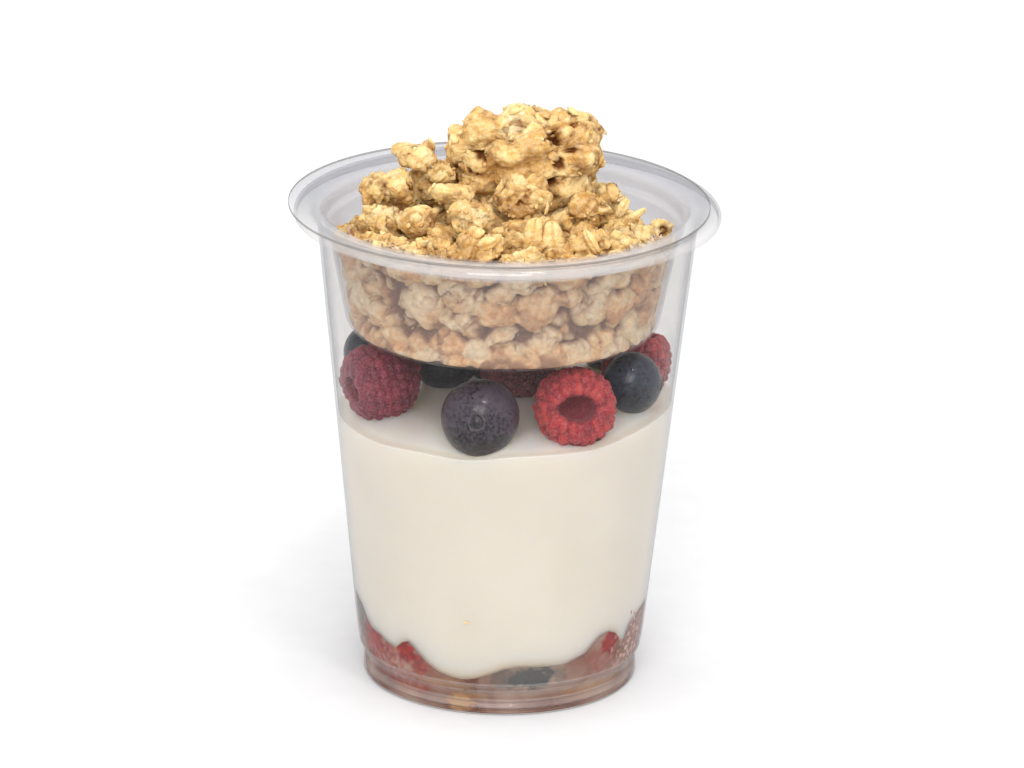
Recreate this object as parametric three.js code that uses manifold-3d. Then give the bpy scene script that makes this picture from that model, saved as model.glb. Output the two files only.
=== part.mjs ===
// Yogurt parfait in a clear tapered cup. From the bottom up: thawed berry juice, yogurt, a layer of
// raspberries and blueberries, and a clear insert cup full of granola clusters that stands in the rim.
// Millimetres, +Z up. The origin is the centre of the foot, on the surface the cup stands on.
import * as THREE from 'three';
import { mergeVertices } from 'three/addons/utils/BufferGeometryUtils.js';
import Module from 'manifold-3d';

const wasm = await Module();
wasm.setup();

// ---------- driving dimensions ----------

const facets = 30;            // facets round the two cups
const fillFacets = 28;        // facets round what fills them
const gap = 0.3;              // clearance between pieces that touch
const wall = 0.6;             // plastic thickness of both cups

const cup = {
  height: 113,
  baseRadius: 32.2,           // outside radius the straight wall would have at the foot
  taper: 0.1037,              // outside radius gained per mm of height
  footRadius: 31.6,
  footHeight: 5.4,
  ledgeHeight: 7.2,           // top of the step between foot and wall
  blendHeight: 16,            // the straight wall starts here
  floorRadius: 26.5,
  floorLift: 2.4,             // underside of the floor above the surface
  flangeStart: 45.4,
  rimRadius: 49,
  lipDrop: 1.7,               // how far the turned-down lip hangs below the rim's top
};

const insert = {
  offsetX: -0.7,              // the insert stands a little to the left in the rim
  floorHeight: 84.4,
  floorDome: 0.6,
  floorRadius: 33.6,
  cornerRadius: 35.9,
  shoulderHeight: 108.4,
  shoulderRadius: 40.6,
  collarRadius: 41.5,
  flangeThickness: 0.5,
  flangeRadius: 48.25,
  flangeOffsetX: -1.9,        // the trimmed flange is off centre by more than the body
};

const yogurt = {
  topLevel: 65.8,             // mean height of the upper surface
  topTilt: 0.045,             // rise per mm towards +X
  lowLevel: 9.6,              // lower boundary at the wall, at its lowest, towards -Y
  sideLevel: 18.5,            // lower boundary at the two sides
};

const granola = {
  level: 107.2,               // surface of the fill near the insert's wall
  frontRise: 3.6,             // extra height towards -Y
  backDrop: 1.8,              // and less towards +Y
  moundHeight: 9,
  moundRadius: 19,
  lumpiness: 0.9,
};

// Clusters that stand out of the granola's surface: centre and half sizes.
const clusters = [
  { at: [-6, 4, 126.2], half: [9, 8, 8.8] },        // crest, left part
  { at: [7, 5, 125.8], half: [10.5, 9, 9.4] },      // crest, middle
  { at: [15.6, 5, 126.6], half: [8, 8, 9.2] },      // crest, right part
  { at: [10, -1, 117], half: [10, 9, 8.5] },        // under the crest
  { at: [-20.6, -1, 124], half: [6.8, 5.8, 5] },
  { at: [-27, -6, 116], half: [8.8, 9.4, 8.6] },
  { at: [-14, -10, 117.4], half: [8, 7, 5] },
  { at: [-7.4, -21, 114.6], half: [8, 6.6, 5.6] },
  { at: [3, -15.5, 118], half: [8.4, 7.6, 6] },
  { at: [8.6, -25, 113], half: [8, 5.8, 6] },
  { at: [18.4, -11, 114], half: [8.4, 7.6, 7] },
  { at: [25.4, -5, 111], half: [6.6, 5, 4.8] },
  { at: [33, -4.5, 109.4], half: [5, 5.4, 4.6] },
  { at: [-12, 15, 114.5], half: [9.6, 8.6, 8] },
  { at: [7, 17.5, 113], half: [9.4, 8, 7] },
];

// Berries on the yogurt: kind, centre, half size across, and the way the crown or hollow faces.
const berries = [
  { name: 'raspberry_left', kind: 'raspberry', at: [-28.2, -7.3, 72.6], size: 9.1, faces: [-0.88, -0.42, -0.16] },
  { name: 'raspberry_front', kind: 'raspberry', at: [16, -23.9, 72.7], size: 9.3, faces: [0.1, -0.95, 0.28] },
  { name: 'raspberry_right', kind: 'raspberry', at: [30.2, 4.7, 73.8], size: 8.2, faces: [0.15, 0.1, 0.98] },
  { name: 'raspberry_middle', kind: 'raspberry', at: [2.6, 2.2, 73.4], size: 8.6, faces: [0.55, 0.3, 0.78] },
  { name: 'raspberry_back', kind: 'raspberry', at: [7, 28.4, 73.4], size: 8.4, faces: [0.2, 0.9, 0.38] },
  { name: 'blueberry_front', kind: 'blueberry', at: [-5.4, -29.5, 71.8], size: 8.9, faces: [-0.09, -0.97, 0.2] },
  { name: 'blueberry_right', kind: 'blueberry', at: [29.3, -11.6, 74.7], size: 7.2, faces: [0.94, -0.3, 0.02] },
  { name: 'blueberry_left', kind: 'blueberry', at: [-30.2, 9.4, 74], size: 7.3, faces: [-0.5, 0.8, 0.3] },
  { name: 'blueberry_middle', kind: 'blueberry', at: [-14.2, 9.2, 73.6], size: 8.4, faces: [0.3, -0.2, 0.93] },
  { name: 'blueberry_back', kind: 'blueberry', at: [-14.1, 26.9, 72.4], size: 8, faces: [-0.3, 0.93, -0.2] },
  { name: 'blueberry_back_right', kind: 'blueberry', at: [24, 20, 73.6], size: 7.5, faces: [0.5, 0.5, 0.7] },
];

// ---------- materials ----------

const paint = (colour, roughness) => new THREE.MeshStandardMaterial({ color: colour, roughness, metalness: 0 });

const clearPlastic = () => new THREE.MeshStandardMaterial({
  color: 0xdde2e4, roughness: 0.08, metalness: 0, transparent: true, opacity: 0.35,
});
const yogurtCream = paint(0xefe7da, 0.45);
const berryJuice = paint(0x96685e, 0.3);
const toastedOats = paint(0xd0a061, 0.85);
const berrySkins = {
  raspberry: () => paint(0xa83a4a, 0.55),
  blueberry: () => paint(0x464a5c, 0.6),
};

// ---------- shape helpers ----------

// A profile of [radius, height] corners turned about Z. It starts and ends on the axis or closes on itself.
function turned(profile, sides = facets) {
  const points = profile.map(([radius, height]) => new THREE.Vector2(radius, height));
  return welded(new THREE.LatheGeometry(points, sides).rotateX(Math.PI / 2));
}

// The same geometry with shared vertices, so that it is one closed skin.
function welded(geometry) {
  const skin = geometry.clone();
  skin.deleteAttribute('normal');
  skin.deleteAttribute('uv');
  return mergeVertices(skin, 1e-3);
}

// Moves every vertex by a function that changes a Vector3 in place.
function warped(geometry, move) {
  const position = geometry.getAttribute('position');
  const point = new THREE.Vector3();
  for (let i = 0; i < position.count; i += 1) {
    point.fromBufferAttribute(position, i);
    move(point);
    position.setXYZ(i, point.x, point.y, point.z);
  }
  return geometry;
}

function solid(geometry) {
  const skin = welded(geometry);
  const vertProperties = new Float32Array(skin.getAttribute('position').array);
  const triVerts = new Uint32Array(skin.index.array);
  return new wasm.Manifold(new wasm.Mesh({ numProp: 3, vertProperties, triVerts }));
}

function geometryOf(body) {
  const { vertProperties, triVerts } = body.getMesh();
  const geometry = new THREE.BufferGeometry();
  geometry.setAttribute('position', new THREE.BufferAttribute(new Float32Array(vertProperties), 3));
  geometry.setIndex(new THREE.BufferAttribute(new Uint32Array(triVerts), 1));
  geometry.computeVertexNormals();
  return geometry;
}

function named(name, geometry, material) {
  geometry.computeVertexNormals();
  const mesh = new THREE.Mesh(geometry, material);
  mesh.name = name;
  return mesh;
}

// Corners of a quarter bend from one point to another, round a control corner.
function bend(from, corner, to, steps = 3) {
  const curve = new THREE.QuadraticBezierCurve(
    new THREE.Vector2(...from), new THREE.Vector2(...corner), new THREE.Vector2(...to));
  return curve.getPoints(steps).map((point) => [point.x, point.y]);
}

const smoothstep = THREE.MathUtils.smoothstep;
const lerp = THREE.MathUtils.lerp;

// Slow unevenness between -1 and 1, the same on every build.
function uneven(x, y, z, pitch) {
  const k = (2 * Math.PI) / pitch;
  const first = Math.sin(k * (x + 0.6 * z) + 1.3) * Math.cos(k * (y - 0.4 * x) + 0.4);
  const second = Math.sin(k * (0.8 * y + z) - 0.7) * Math.cos(k * (0.7 * x - z) + 2.1);
  return 0.6 * first + 0.4 * second;
}

// ---------- outer cup ----------

const cupRadius = (height) => cup.baseRadius + cup.taper * height;

// The cup's section below the rim, moved inwards from the outside face by a given depth.
function cupSide(depth) {
  const blend = [cupRadius(cup.blendHeight) - depth, cup.blendHeight];
  const ledge = [cup.footRadius + 0.85 - depth, cup.ledgeHeight];
  return [
    [cup.footRadius - depth, cup.footHeight],
    ledge,
    ...bend(ledge, [cupRadius(11) - depth, 11], blend, 2).slice(1),
  ];
}

// The foot's ring: down from the floor, along the surface and up the outside, moved in by a given depth.
function footRing(depth) {
  const radius = cup.footRadius - depth;
  return [
    [0, cup.floorLift + depth],
    [cup.floorRadius + depth * 0.6, cup.floorLift + depth],
    [cup.floorRadius + 1.9 + depth * 0.6, depth],
    ...bend([radius - 1.3, depth], [radius, depth], [radius, depth + 1.4], 2),
  ];
}

function outerCup() {
  const top = cup.height;
  const lipInside = cup.rimRadius - wall;
  const throatHeight = top - 2.6;
  const outside = [
    ...footRing(0),
    ...cupSide(0),
    ...bend([cupRadius(throatHeight), throatHeight], [cupRadius(top), top - wall],
      [cup.flangeStart, top - wall], 2),
    [lipInside, top - wall],
    [lipInside, top - cup.lipDrop],
    [cup.rimRadius - 0.15, top - cup.lipDrop],
    ...bend([cup.rimRadius, top - 1.1], [cup.rimRadius, top], [cup.rimRadius - 1.3, top], 2),
  ];
  const inside = [
    ...footRing(wall),
    ...cupSide(wall),
    ...bend([cupRadius(throatHeight) - wall, throatHeight], [cupRadius(top) - wall, top],
      [cup.flangeStart - 0.2, top], 2),
  ];
  return turned([...outside, ...inside.reverse()]);
}

// ---------- insert cup ----------

// The insert's section from the floor's centre to the flange, moved inwards from the outside face.
function insertSide(depth) {
  const { floorHeight, floorRadius, cornerRadius, shoulderHeight, shoulderRadius, collarRadius } = insert;
  const floor = floorHeight + depth;
  const seat = cup.height + gap;
  return [
    [0, floor + insert.floorDome],
    ...bend([floorRadius - depth, floor], [cornerRadius - depth, floor],
      [cornerRadius + 0.35 - depth, floorHeight + 2.4], 2),
    [shoulderRadius - depth, shoulderHeight],
    [collarRadius - 0.1 - depth, shoulderHeight + 0.7],
    ...bend([collarRadius - depth, seat - 1.5], [collarRadius + 0.1 - depth, seat + depth],
      [collarRadius + 2, seat + depth], 2),
  ];
}

function insertCup() {
  const seat = cup.height + gap;
  const lipRadius = 45.4;
  const flangeTop = seat + insert.flangeThickness;
  const outside = [...insertSide(0), [lipRadius, seat]];
  const inside = [...insertSide(insert.flangeThickness), [lipRadius, flangeTop]];
  const body = turned([...outside, ...inside.reverse()]).translate(insert.offsetX, 0, 0);
  const flange = turned([
    [lipRadius - 0.9, seat],
    [insert.flangeRadius, seat],
    [insert.flangeRadius, flangeTop],
    [lipRadius - 0.9, flangeTop],
    [lipRadius - 0.9, seat],
  ]).translate(insert.flangeOffsetX, 0, 0);
  return geometryOf(solid(body).add(solid(flange)));
}

// ---------- berries ----------

const berrySides = { raspberry: 12, blueberry: 10 };
const drupeletRelief = 0.035;  // how far the drupelets stand out, as a share of the radius

// Half outlines from the bottom pole to the rim of the hollow or crown, for a half size of 1.
function raspberryOutline() {
  const body = [[0, -1], [0.42, -0.9], [0.78, -0.62], [0.97, -0.22], [1, 0.22], [0.86, 0.66], [0.56, 0.96]];
  return body.map(([across, along]) => [across, along * 0.98]);
}

function blueberryOutline() {
  const steps = 6;
  const outline = [];
  for (let i = 0; i <= steps; i += 1) {
    const angle = lerp(-Math.PI / 2, 0.42 * Math.PI, i / steps);
    outline.push([i === 0 ? 0 : Math.cos(angle), 0.93 * Math.sin(angle)]);
  }
  return outline;
}

const scaled = (outline, size) => outline.map(([across, along]) => [across * size, along * size]);

// A raspberry without its core: a blunt cone of drupelets round an open hollow, which faces +Z.
function raspberry(size) {
  const hollow = [[0.34, 0.8], [0.27, 0.1], [0, -0.1]];
  const geometry = turned(scaled([...raspberryOutline(), ...hollow], size), berrySides.raspberry);
  const drupelets = berrySides.raspberry / 2;
  return warped(geometry, (point) => {
    const outside = smoothstep(Math.hypot(point.x, point.y), 0.35 * size, 0.6 * size);
    const row = Math.round((point.z / size) * 2.4);
    const turn = Math.atan2(point.y, point.x) + (row % 2) * (Math.PI / berrySides.raspberry);
    const swell = 1 + drupeletRelief * outside * Math.cos(drupelets * turn);
    point.set(point.x * swell, point.y * swell, point.z);
  });
}

// A blueberry: a round, slightly flattened fruit with a sunken crown, which faces +Z.
function blueberry(size) {
  const crown = [[0.27, 0.95], [0.15, 0.86], [0, 0.8]];
  return turned(scaled([...blueberryOutline(), ...crown], size), berrySides.blueberry);
}

const shapes = { raspberry, blueberry };
const outlines = { raspberry: raspberryOutline, blueberry: blueberryOutline };

function pose(berry) {
  const facing = new THREE.Vector3(...berry.faces).normalize();
  const turn = new THREE.Quaternion().setFromUnitVectors(new THREE.Vector3(0, 0, 1), facing);
  return new THREE.Matrix4().compose(new THREE.Vector3(...berry.at), turn, new THREE.Vector3(1, 1, 1));
}

function berryMesh(berry) {
  const mesh = named(berry.name, shapes[berry.kind](berry.size), berrySkins[berry.kind]());
  mesh.applyMatrix4(pose(berry));
  return mesh;
}

// The room a berry takes up in the yogurt: its outline with the clearance round it and no hollow.
function berryRoom(berry) {
  const size = berry.size * (1 + drupeletRelief) + gap;
  const outline = scaled(outlines[berry.kind](), size);
  const top = outline[outline.length - 1][1];
  return solid(turned([...outline, [0, top]], berrySides[berry.kind]).applyMatrix4(pose(berry)));
}

// ---------- yogurt and juice ----------

// The boundary between juice and yogurt: lowest towards -Y, high at both sides, uneven over the sunk fruit.
function boundaryLevel(x, y) {
  const angle = Math.atan2(x, -y);
  const side = smoothstep(Math.abs(angle + 0.12), 0.3, 1.25);
  const crest = 2.6 * Math.exp(-(((angle - 0.8) / 0.17) ** 2)) + 1.9 * Math.exp(-(((angle + 0.72) / 0.12) ** 2));
  const back = 2.4 * smoothstep(Math.abs(angle), 1.6, 3.1);
  const ripple = 0.9 * Math.sin(5 * angle + 0.8);
  const inward = 1 - Math.hypot(x, y) / 34;
  return lerp(yogurt.lowLevel, yogurt.sideLevel, side) - back + crest + ripple + 2 * Math.max(inward, 0);
}

function surfaceLevel(x, y) {
  const swell = 1.1 * Math.exp(-((x - 32) ** 2 + (y + 8) ** 2) / 160);
  return yogurt.topLevel + yogurt.topTilt * x + 0.45 * uneven(x, y, 0, 34) + swell;
}

// A wide disc between two levels, each a function of x and y.
function disc(lower, upper) {
  const rings = [0, 15, 26, 33, 46];
  const low = rings.map((radius) => [radius, 0]);
  const high = rings.map((radius) => [radius, 1]).reverse();
  return solid(warped(turned([...low, ...high], fillFacets), (point) => {
    point.z = point.z < 0.5 ? lower(point.x, point.y) : upper(point.x, point.y);
  }));
}

// Everything inside the outer cup up to the berries, less the clearance to the wall.
function cupRoom() {
  const depth = wall + gap;
  const top = 80;
  return solid(turned([
    ...footRing(depth),
    ...cupSide(depth),
    [cupRadius(top) - depth, top],
    [0, top],
  ], fillFacets));
}

function yogurtLayer() {
  const half = gap / 2;
  const layer = cupRoom().intersect(disc((x, y) => boundaryLevel(x, y) + half, surfaceLevel));
  return geometryOf(berries.reduce((body, berry) => body.subtract(berryRoom(berry)), layer));
}

function juiceLayer() {
  const half = gap / 2;
  return geometryOf(cupRoom().subtract(disc((x, y) => boundaryLevel(x, y) - half, () => 90)));
}

// ---------- granola ----------

function fillLevel(x, y) {
  const mound = granola.moundHeight * Math.exp(-(x * x + y * y) / (granola.moundRadius ** 2));
  const front = granola.frontRise * smoothstep(-y, 0, 34) * smoothstep(36 - Math.abs(x), 0, 10);
  const back = granola.backDrop * smoothstep(y, 0, 30);
  return granola.level + mound + front - back + granola.lumpiness * uneven(x, y, 3, 9);
}

// The fill in the insert: a turned body with bites out of its side, under an uneven surface.
function granolaFill() {
  const floor = insert.floorHeight + insert.flangeThickness + gap;
  const side = insert.shoulderRadius - insert.flangeThickness - gap;
  const slope = (insert.shoulderRadius - insert.cornerRadius - 0.35) / (insert.shoulderHeight - floor - 2.2);
  const sideAt = (height) => side - slope * (insert.shoulderHeight - height);
  const aboveAll = 1000;
  const profile = [
    [0, floor + insert.floorDome],
    [insert.floorRadius - 3.2, floor + 0.7],
    [sideAt(floor + 3.4) - 0.5, floor + 3.4],
    [sideAt(98) - 0.2, 98],
    ...[36.6, 30, 21, 11, 0].map((radius) => [radius, aboveAll]),
  ];
  return warped(turned(profile, fillFacets), (point) => {
    if (point.z === aboveAll) point.z = fillLevel(point.x, point.y);
    const bite = 1 - 0.045 * Math.max(0, uneven(point.x, point.y, point.z, 13));
    point.set(point.x * bite + insert.offsetX, point.y * bite, point.z);
  });
}

// A cluster: a lump with shallow bumps.
function clusterLump(cluster, i) {
  const detail = cluster.half[0] > 9 ? 2 : 1;
  const lump = warped(welded(new THREE.IcosahedronGeometry(1, detail)), (point) => {
    point.multiplyScalar(1 + 0.17 * uneven(point.x + 3 * i, point.y - 2 * i, point.z + i, 0.9));
  });
  return solid(lump.scale(...cluster.half).translate(...cluster.at));
}

function granolaHeap() {
  return geometryOf(clusters.map(clusterLump).reduce((body, lump) => body.add(lump), solid(granolaFill())));
}

// ---------- assembly ----------

const parfait = new THREE.Group();
parfait.add(named('outer_cup', outerCup(), clearPlastic()));
parfait.add(named('juice_layer', juiceLayer(), berryJuice));
parfait.add(named('yogurt_layer', yogurtLayer(), yogurtCream));
parfait.add(named('insert_cup', insertCup(), clearPlastic()));
parfait.add(named('granola_heap', granolaHeap(), toastedOats));
parfait.add(...berries.map(berryMesh));

export default parfait;
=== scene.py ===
from math import cos, pi, radians, sin

import bpy
import numpy as np
from mathutils import Matrix, Vector


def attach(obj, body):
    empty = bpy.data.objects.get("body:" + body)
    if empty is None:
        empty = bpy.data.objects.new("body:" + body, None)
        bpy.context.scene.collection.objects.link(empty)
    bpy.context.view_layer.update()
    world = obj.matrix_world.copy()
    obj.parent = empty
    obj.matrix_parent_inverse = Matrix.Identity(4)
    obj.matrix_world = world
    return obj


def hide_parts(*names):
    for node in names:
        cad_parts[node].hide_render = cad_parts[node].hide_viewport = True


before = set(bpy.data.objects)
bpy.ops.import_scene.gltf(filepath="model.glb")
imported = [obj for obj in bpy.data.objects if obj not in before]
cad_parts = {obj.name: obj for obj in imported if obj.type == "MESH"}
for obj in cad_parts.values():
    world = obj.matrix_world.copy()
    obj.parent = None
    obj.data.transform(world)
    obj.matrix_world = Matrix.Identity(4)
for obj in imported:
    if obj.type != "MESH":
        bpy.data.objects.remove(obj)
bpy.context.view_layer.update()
scene = bpy.context.scene
print("frame loaded")

# The camera: metres, radians, and a lens in mm on a 36 mm wide sensor.
shot = {
    "place": (0, -1.45, 0.5678),
    "yaw": 0.0012,
    "pitch": 0.3308,   # downwards
    "roll": 0.0185,
    "lens": 233.66,
    "sensor": 36,
    "farthest": 10,
}

camera = bpy.data.objects.new("camera", bpy.data.cameras.new("camera"))
camera.data.sensor_width = shot["sensor"]
camera.data.lens = shot["lens"]
camera.data.clip_end = shot["farthest"]
aim = Matrix.Rotation(-shot["yaw"], 4, "Z") @ Matrix.Rotation(pi / 2 - shot["pitch"], 4, "X")
camera.matrix_world = Matrix.Translation(shot["place"]) @ aim @ Matrix.Rotation(shot["roll"], 4, "Z")
scene.collection.objects.link(camera)
scene.camera = camera

colourMix = {"data_type": "RGBA", "out": 2}   # makes a Mix node blend colours: 0 share, 6 and 7 colours


def srgb(hexText, dim=1):
    # sRGB hex to linear: c / 12.92 below 0.04045, otherwise ((c + 0.055) / 1.055) ^ 2.4
    c = np.array([int(hexText[i:i + 2], 16) for i in (1, 3, 5)]) / 255
    linear = np.where(c < 0.04045, c / 12.92, ((c + 0.055) / 1.055) ** 2.4) * dim
    return (*linear.tolist(), 1)


def addNode(tree, kind, inputs=None, stops=(), out=0, **settings):
    # Adds a node and gives its output out, by name or number. settings are its own properties, inputs
    # its sockets by name or number, each set to a value or linked from another output, and stops the
    # places and hex colours of a ramp.
    node = tree.nodes.new("ShaderNode" + kind)
    for name, value in settings.items():
        setattr(node, name, value)
    for key, value in (inputs or {}).items():
        if isinstance(value, bpy.types.NodeSocket):
            tree.links.new(value, node.inputs[key])
        else:
            node.inputs[key].default_value = value
    for i, (place, colour) in enumerate(stops):
        ramp = node.color_ramp.elements
        stop = ramp[i] if i < 2 else ramp.new(place)
        stop.position = place
        stop.color = srgb(colour)
    return node.outputs[out] if node.outputs else None


def newMaterial(name):
    # An empty material, its node tree, and the object coordinates that its patterns read.
    material = bpy.data.materials.new(name)
    material.use_nodes = True
    tree = material.node_tree
    tree.nodes.clear()
    return material, tree, addNode(tree, "TexCoord", out="Object")


def finishMaterial(tree, shader):
    # Joins a shader to the material's surface.
    addNode(tree, "OutputMaterial", {"Surface": shader})


def closedSkin(points, marks=None, ring=False):
    # Joins grids of points (copies, rows, columns, xyz) into closed skins. Columns wrap round. The first
    # and last rows are poles, or with ring they meet each other. marks are numbers for each point.
    points = points if points.ndim == 4 else points[None]
    copies, rows, columns = points.shape[:3]
    inner = slice(None) if ring else slice(1, -1)

    def line(values):
        # The grid's values in one row for each copy, each pole once.
        flat = values[:, inner].reshape(copies, -1, *values.shape[3:])
        return flat if ring else np.concatenate([values[:, 0, :1], flat, values[:, -1, :1]], 1)

    verts = line(points)
    index = np.arange((rows if ring else rows - 2) * columns).reshape(-1, columns) + (not ring)
    if ring:
        index = np.vstack([index, index[:1]])
    east = np.roll(index, -1, 1)
    faces = [np.stack([index[:-1], east[:-1], east[1:], index[1:]], -1).reshape(-1, 4)]
    if not ring:
        last = np.full(columns, verts.shape[1] - 1)
        faces.append(np.stack([last * 0, east[0], index[0]], -1))
        faces.append(np.stack([index[-1], east[-1], last], -1))
    step = np.arange(copies)[:, None, None] * verts.shape[1]
    return {
        "verts": verts.reshape(-1, 3),
        "faces": [(f + step).reshape(-1, f.shape[1]) for f in faces],
        "marks": {k: line(np.broadcast_to(v, points.shape[:3])).ravel() for k, v in (marks or {}).items()},
    }


def makePiece(name, skins, material, stands=()):
    # One mesh object from skins in millimetres, with the material given. It rides on the body, and
    # may stand for a CAD node, which it hides.
    mesh = bpy.data.meshes.new(name)
    starts = np.cumsum([0] + [len(s["verts"]) for s in skins])
    verts = np.concatenate([s["verts"] for s in skins]) * 0.001
    groups = [f + start for s, start in zip(skins, starts) for f in s["faces"]]
    totals = np.concatenate([np.full(len(f), f.shape[1]) for f in groups])
    corners = np.concatenate([f.ravel() for f in groups])
    mesh.vertices.add(len(verts))
    mesh.vertices.foreach_set("co", verts.ravel())
    mesh.loops.add(len(corners))
    mesh.loops.foreach_set("vertex_index", corners)
    mesh.polygons.add(len(totals))
    mesh.polygons.foreach_set("loop_start", np.cumsum(totals) - totals)
    mesh.update(calc_edges=True)
    mesh.shade_smooth()
    for mark in skins[0]["marks"]:
        values = np.concatenate([s["marks"][mark] for s in skins])
        mesh.attributes.new(mark, "FLOAT", "POINT").data.foreach_set("value", values)
    mesh.materials.append(material)
    piece = bpy.data.objects.new(name, mesh)
    scene.collection.objects.link(piece)
    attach(piece, "root")
    if stands:
        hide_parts(*stands)
    print(f"{name}: {int((totals - 2).sum())} triangles")


def unit(vectors):
    # The same directions at length 1.
    return vectors / np.linalg.norm(vectors, axis=-1, keepdims=True)


def lengthAlong(line):
    # The length of a line of points from its start to each of them.
    return np.concatenate([[0], np.cumsum(np.linalg.norm(np.diff(line, axis=0), axis=1))])


def readLine(places, stops, line):
    # Both numbers of a line of points, interpolated at places along it.
    return [np.interp(places, stops, line[:, k]) for k in (0, 1)]


def bendLine(corners, steps=6):
    # A line through corners (radius, height, bend), each corner rounded by a quadratic curve that
    # starts and ends the length bend before and after it.
    place = np.array([c[:2] for c in corners], float)
    line = [place[:1]]
    for i in range(1, len(corners) - 1):
        back, ahead = place[i - 1] - place[i], place[i + 1] - place[i]
        reach = min(corners[i][2], 0.49 * np.linalg.norm(back), 0.49 * np.linalg.norm(ahead))
        start = place[i] + unit(back) * reach
        end = place[i] + unit(ahead) * reach
        t = np.linspace(0, 1, steps)[:, None]
        line.append((1 - t) ** 2 * start + 2 * t * (1 - t) * place[i] + t ** 2 * end)
    return np.concatenate(line + [place[-1:]])


def offsetLine(line, depth):
    # The same line moved to the left of its direction by depth: p + depth * normal, where the normal
    # is that of the line's slope at p.
    slope = np.gradient(line, axis=0)
    slope /= np.maximum(np.linalg.norm(slope, axis=1, keepdims=True), 1e-9)
    moved = line + depth * np.stack([-slope[:, 1], slope[:, 0]], 1)
    moved[[0, -1], 0] = line[[0, -1], 0]
    return moved


def turned(line, columns=192, centre=0):
    # A line (radius, height) turned about Z: (centre + r cos v, r sin v, z). centre may vary along it.
    v = np.linspace(0, 2 * pi, columns, endpoint=False)
    x = line[:, :1] * np.cos(v) + np.broadcast_to(np.reshape(centre, (-1, 1)), (len(line), 1))
    return np.stack([x, line[:, :1] * np.sin(v), np.broadcast_to(line[:, 1:], x.shape)], -1)


def ballGrid(rows, columns):
    # Unit directions: row angle u from the bottom pole to the top pole, column angle v round Z.
    u = np.linspace(-pi / 2, pi / 2, rows)[:, None]
    v = np.linspace(0, 2 * pi, columns, endpoint=False)
    return np.stack([np.cos(u) * np.cos(v), np.cos(u) * np.sin(v), np.sin(u) * np.ones_like(v)], -1)


def joinPoles(points):
    # Draws the first and the last row of a grid together in one point each, the mean of the row.
    points[[0, -1]] = points[[0, -1]].mean(1, keepdims=True)
    return points


def smooth(value, low, high):
    # 0 below low, 1 above high, 3t^2 - 2t^3 between
    t = np.clip((value - low) / (high - low), 0, 1)
    return t * t * (3 - 2 * t)


def chance(cell, salt):
    # A repeatable number from 0 to 1 for each whole-number cell: products with large primes, mixed.
    n = cell[..., 0] * 73856093 ^ cell[..., 1] * 19349663 ^ cell[..., 2] * 83492791 ^ salt * 26544357
    n = ((n ^ (n >> 13)) & 0xFFFFFFF) * 1274126177
    n = (n ^ (n >> 15)) & 0xFFFFFF
    return n / 0xFFFFFF


def softNoise(p, pitch, salt=0):
    # Random numbers from -1 to 1 at the corners of cubes of side pitch, blended by smooth steps.
    q = p / pitch
    cell = np.floor(q).astype(np.int64)
    f = smooth(q - cell, 0, 1)
    total = 0
    for corner in np.ndindex(2, 2, 2):
        share = np.prod(np.where(corner, f, 1 - f), -1)
        total = total + share * chance(cell + corner, salt)
    return 2 * total - 1


def pebbles(p, pitch, salt=0):
    # Packed cells round random seeds, one seed in each cube of side pitch. Gives the step from the
    # nearest seed and how much nearer it is than the second one, both as shares of pitch, and its cube.
    q = p / pitch
    home = np.floor(q).astype(np.int64)
    near = np.full(q.shape[:-1], 9.0)
    second = near.copy()
    offset = np.zeros_like(q)
    cell = home.copy()
    for step in np.ndindex(3, 3, 3):
        c = home + step - 1
        away = q - c - np.stack([chance(c, salt + k) for k in (1, 2, 3)], -1)
        far = (away ** 2).sum(-1)
        closer = far < near
        second = np.minimum(second, np.maximum(near, far))
        near = np.where(closer, far, near)
        offset = np.where(closer[..., None], away, offset)
        cell = np.where(closer[..., None], c, cell)
    return offset, np.sqrt(second) - np.sqrt(near), cell


def lumpReach(start, out, centre, squash):
    # How far a ray from each start along its out runs to the far side of each ellipsoid |M (p - c)| = 1:
    # t = (b + sqrt(b^2 - a (k - 1))) / a, a = |M out|^2, b = M out . M (c - start), k = |M (c - start)|^2,
    # and 0 where it misses.
    mo = np.einsum("nij,rcj->rcni", squash, out)
    mc = np.einsum("nij,rcnj->rcni", squash, centre - start[..., None, :])
    a, b, k = (mo ** 2).sum(-1), (mo * mc).sum(-1), (mc ** 2).sum(-1)
    root = b ** 2 - a * (k - 1)
    return np.where(root > 0, np.maximum(b + np.sqrt(np.maximum(root, 0)), 0) / a, 0)


def turnTo(faces):
    # A rotation matrix whose third column is the direction faces.
    z = unit(np.array(faces, float))
    x = unit(np.cross([0, 0, 1] if abs(z[2]) < 0.95 else [0, 1, 0], z))
    return np.stack([x, np.cross(z, x), z], 1)


def turnsAlong(normals, spin):
    # Rotation matrices, one for each normal, with Z along the normal and turned about it by spin.
    z = unit(normals)
    x = unit(np.cross(np.where(np.abs(z[:, 2:]) < 0.9, [0, 0, 1], [1, 0, 0]), z))
    y = np.cross(z, x)
    c, s = np.cos(spin)[:, None], np.sin(spin)[:, None]
    return np.stack([x * c + y * s, y * c - x * s, z], 2)


studio = {
    "worldColour": "#FDFDFD",
    "worldLight": 0.8,
    "aimHeight": 0.07,     # the lamps face this height over the cup's foot
    "paperHalf": 4,        # half the side of the paper on the floor
    # place in metres, side of the square lamp, watts
    "lamps": {
        "topLamp": ((0, 0.2, 1.8), 1.6, 12.5),
        "keyLamp": ((0.45, -1.15, 2.5), 0.4, 14),
        "frontLamp": ((-0.2, -2.9, 2.1), 1.9, 84),
        "leftLamp": ((-1.7, -0.9, 0.9), 0.9, 2.6),
        "rightLamp": ((1.7, -0.9, 0.9), 0.9, 2.6),
    },
}

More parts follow.
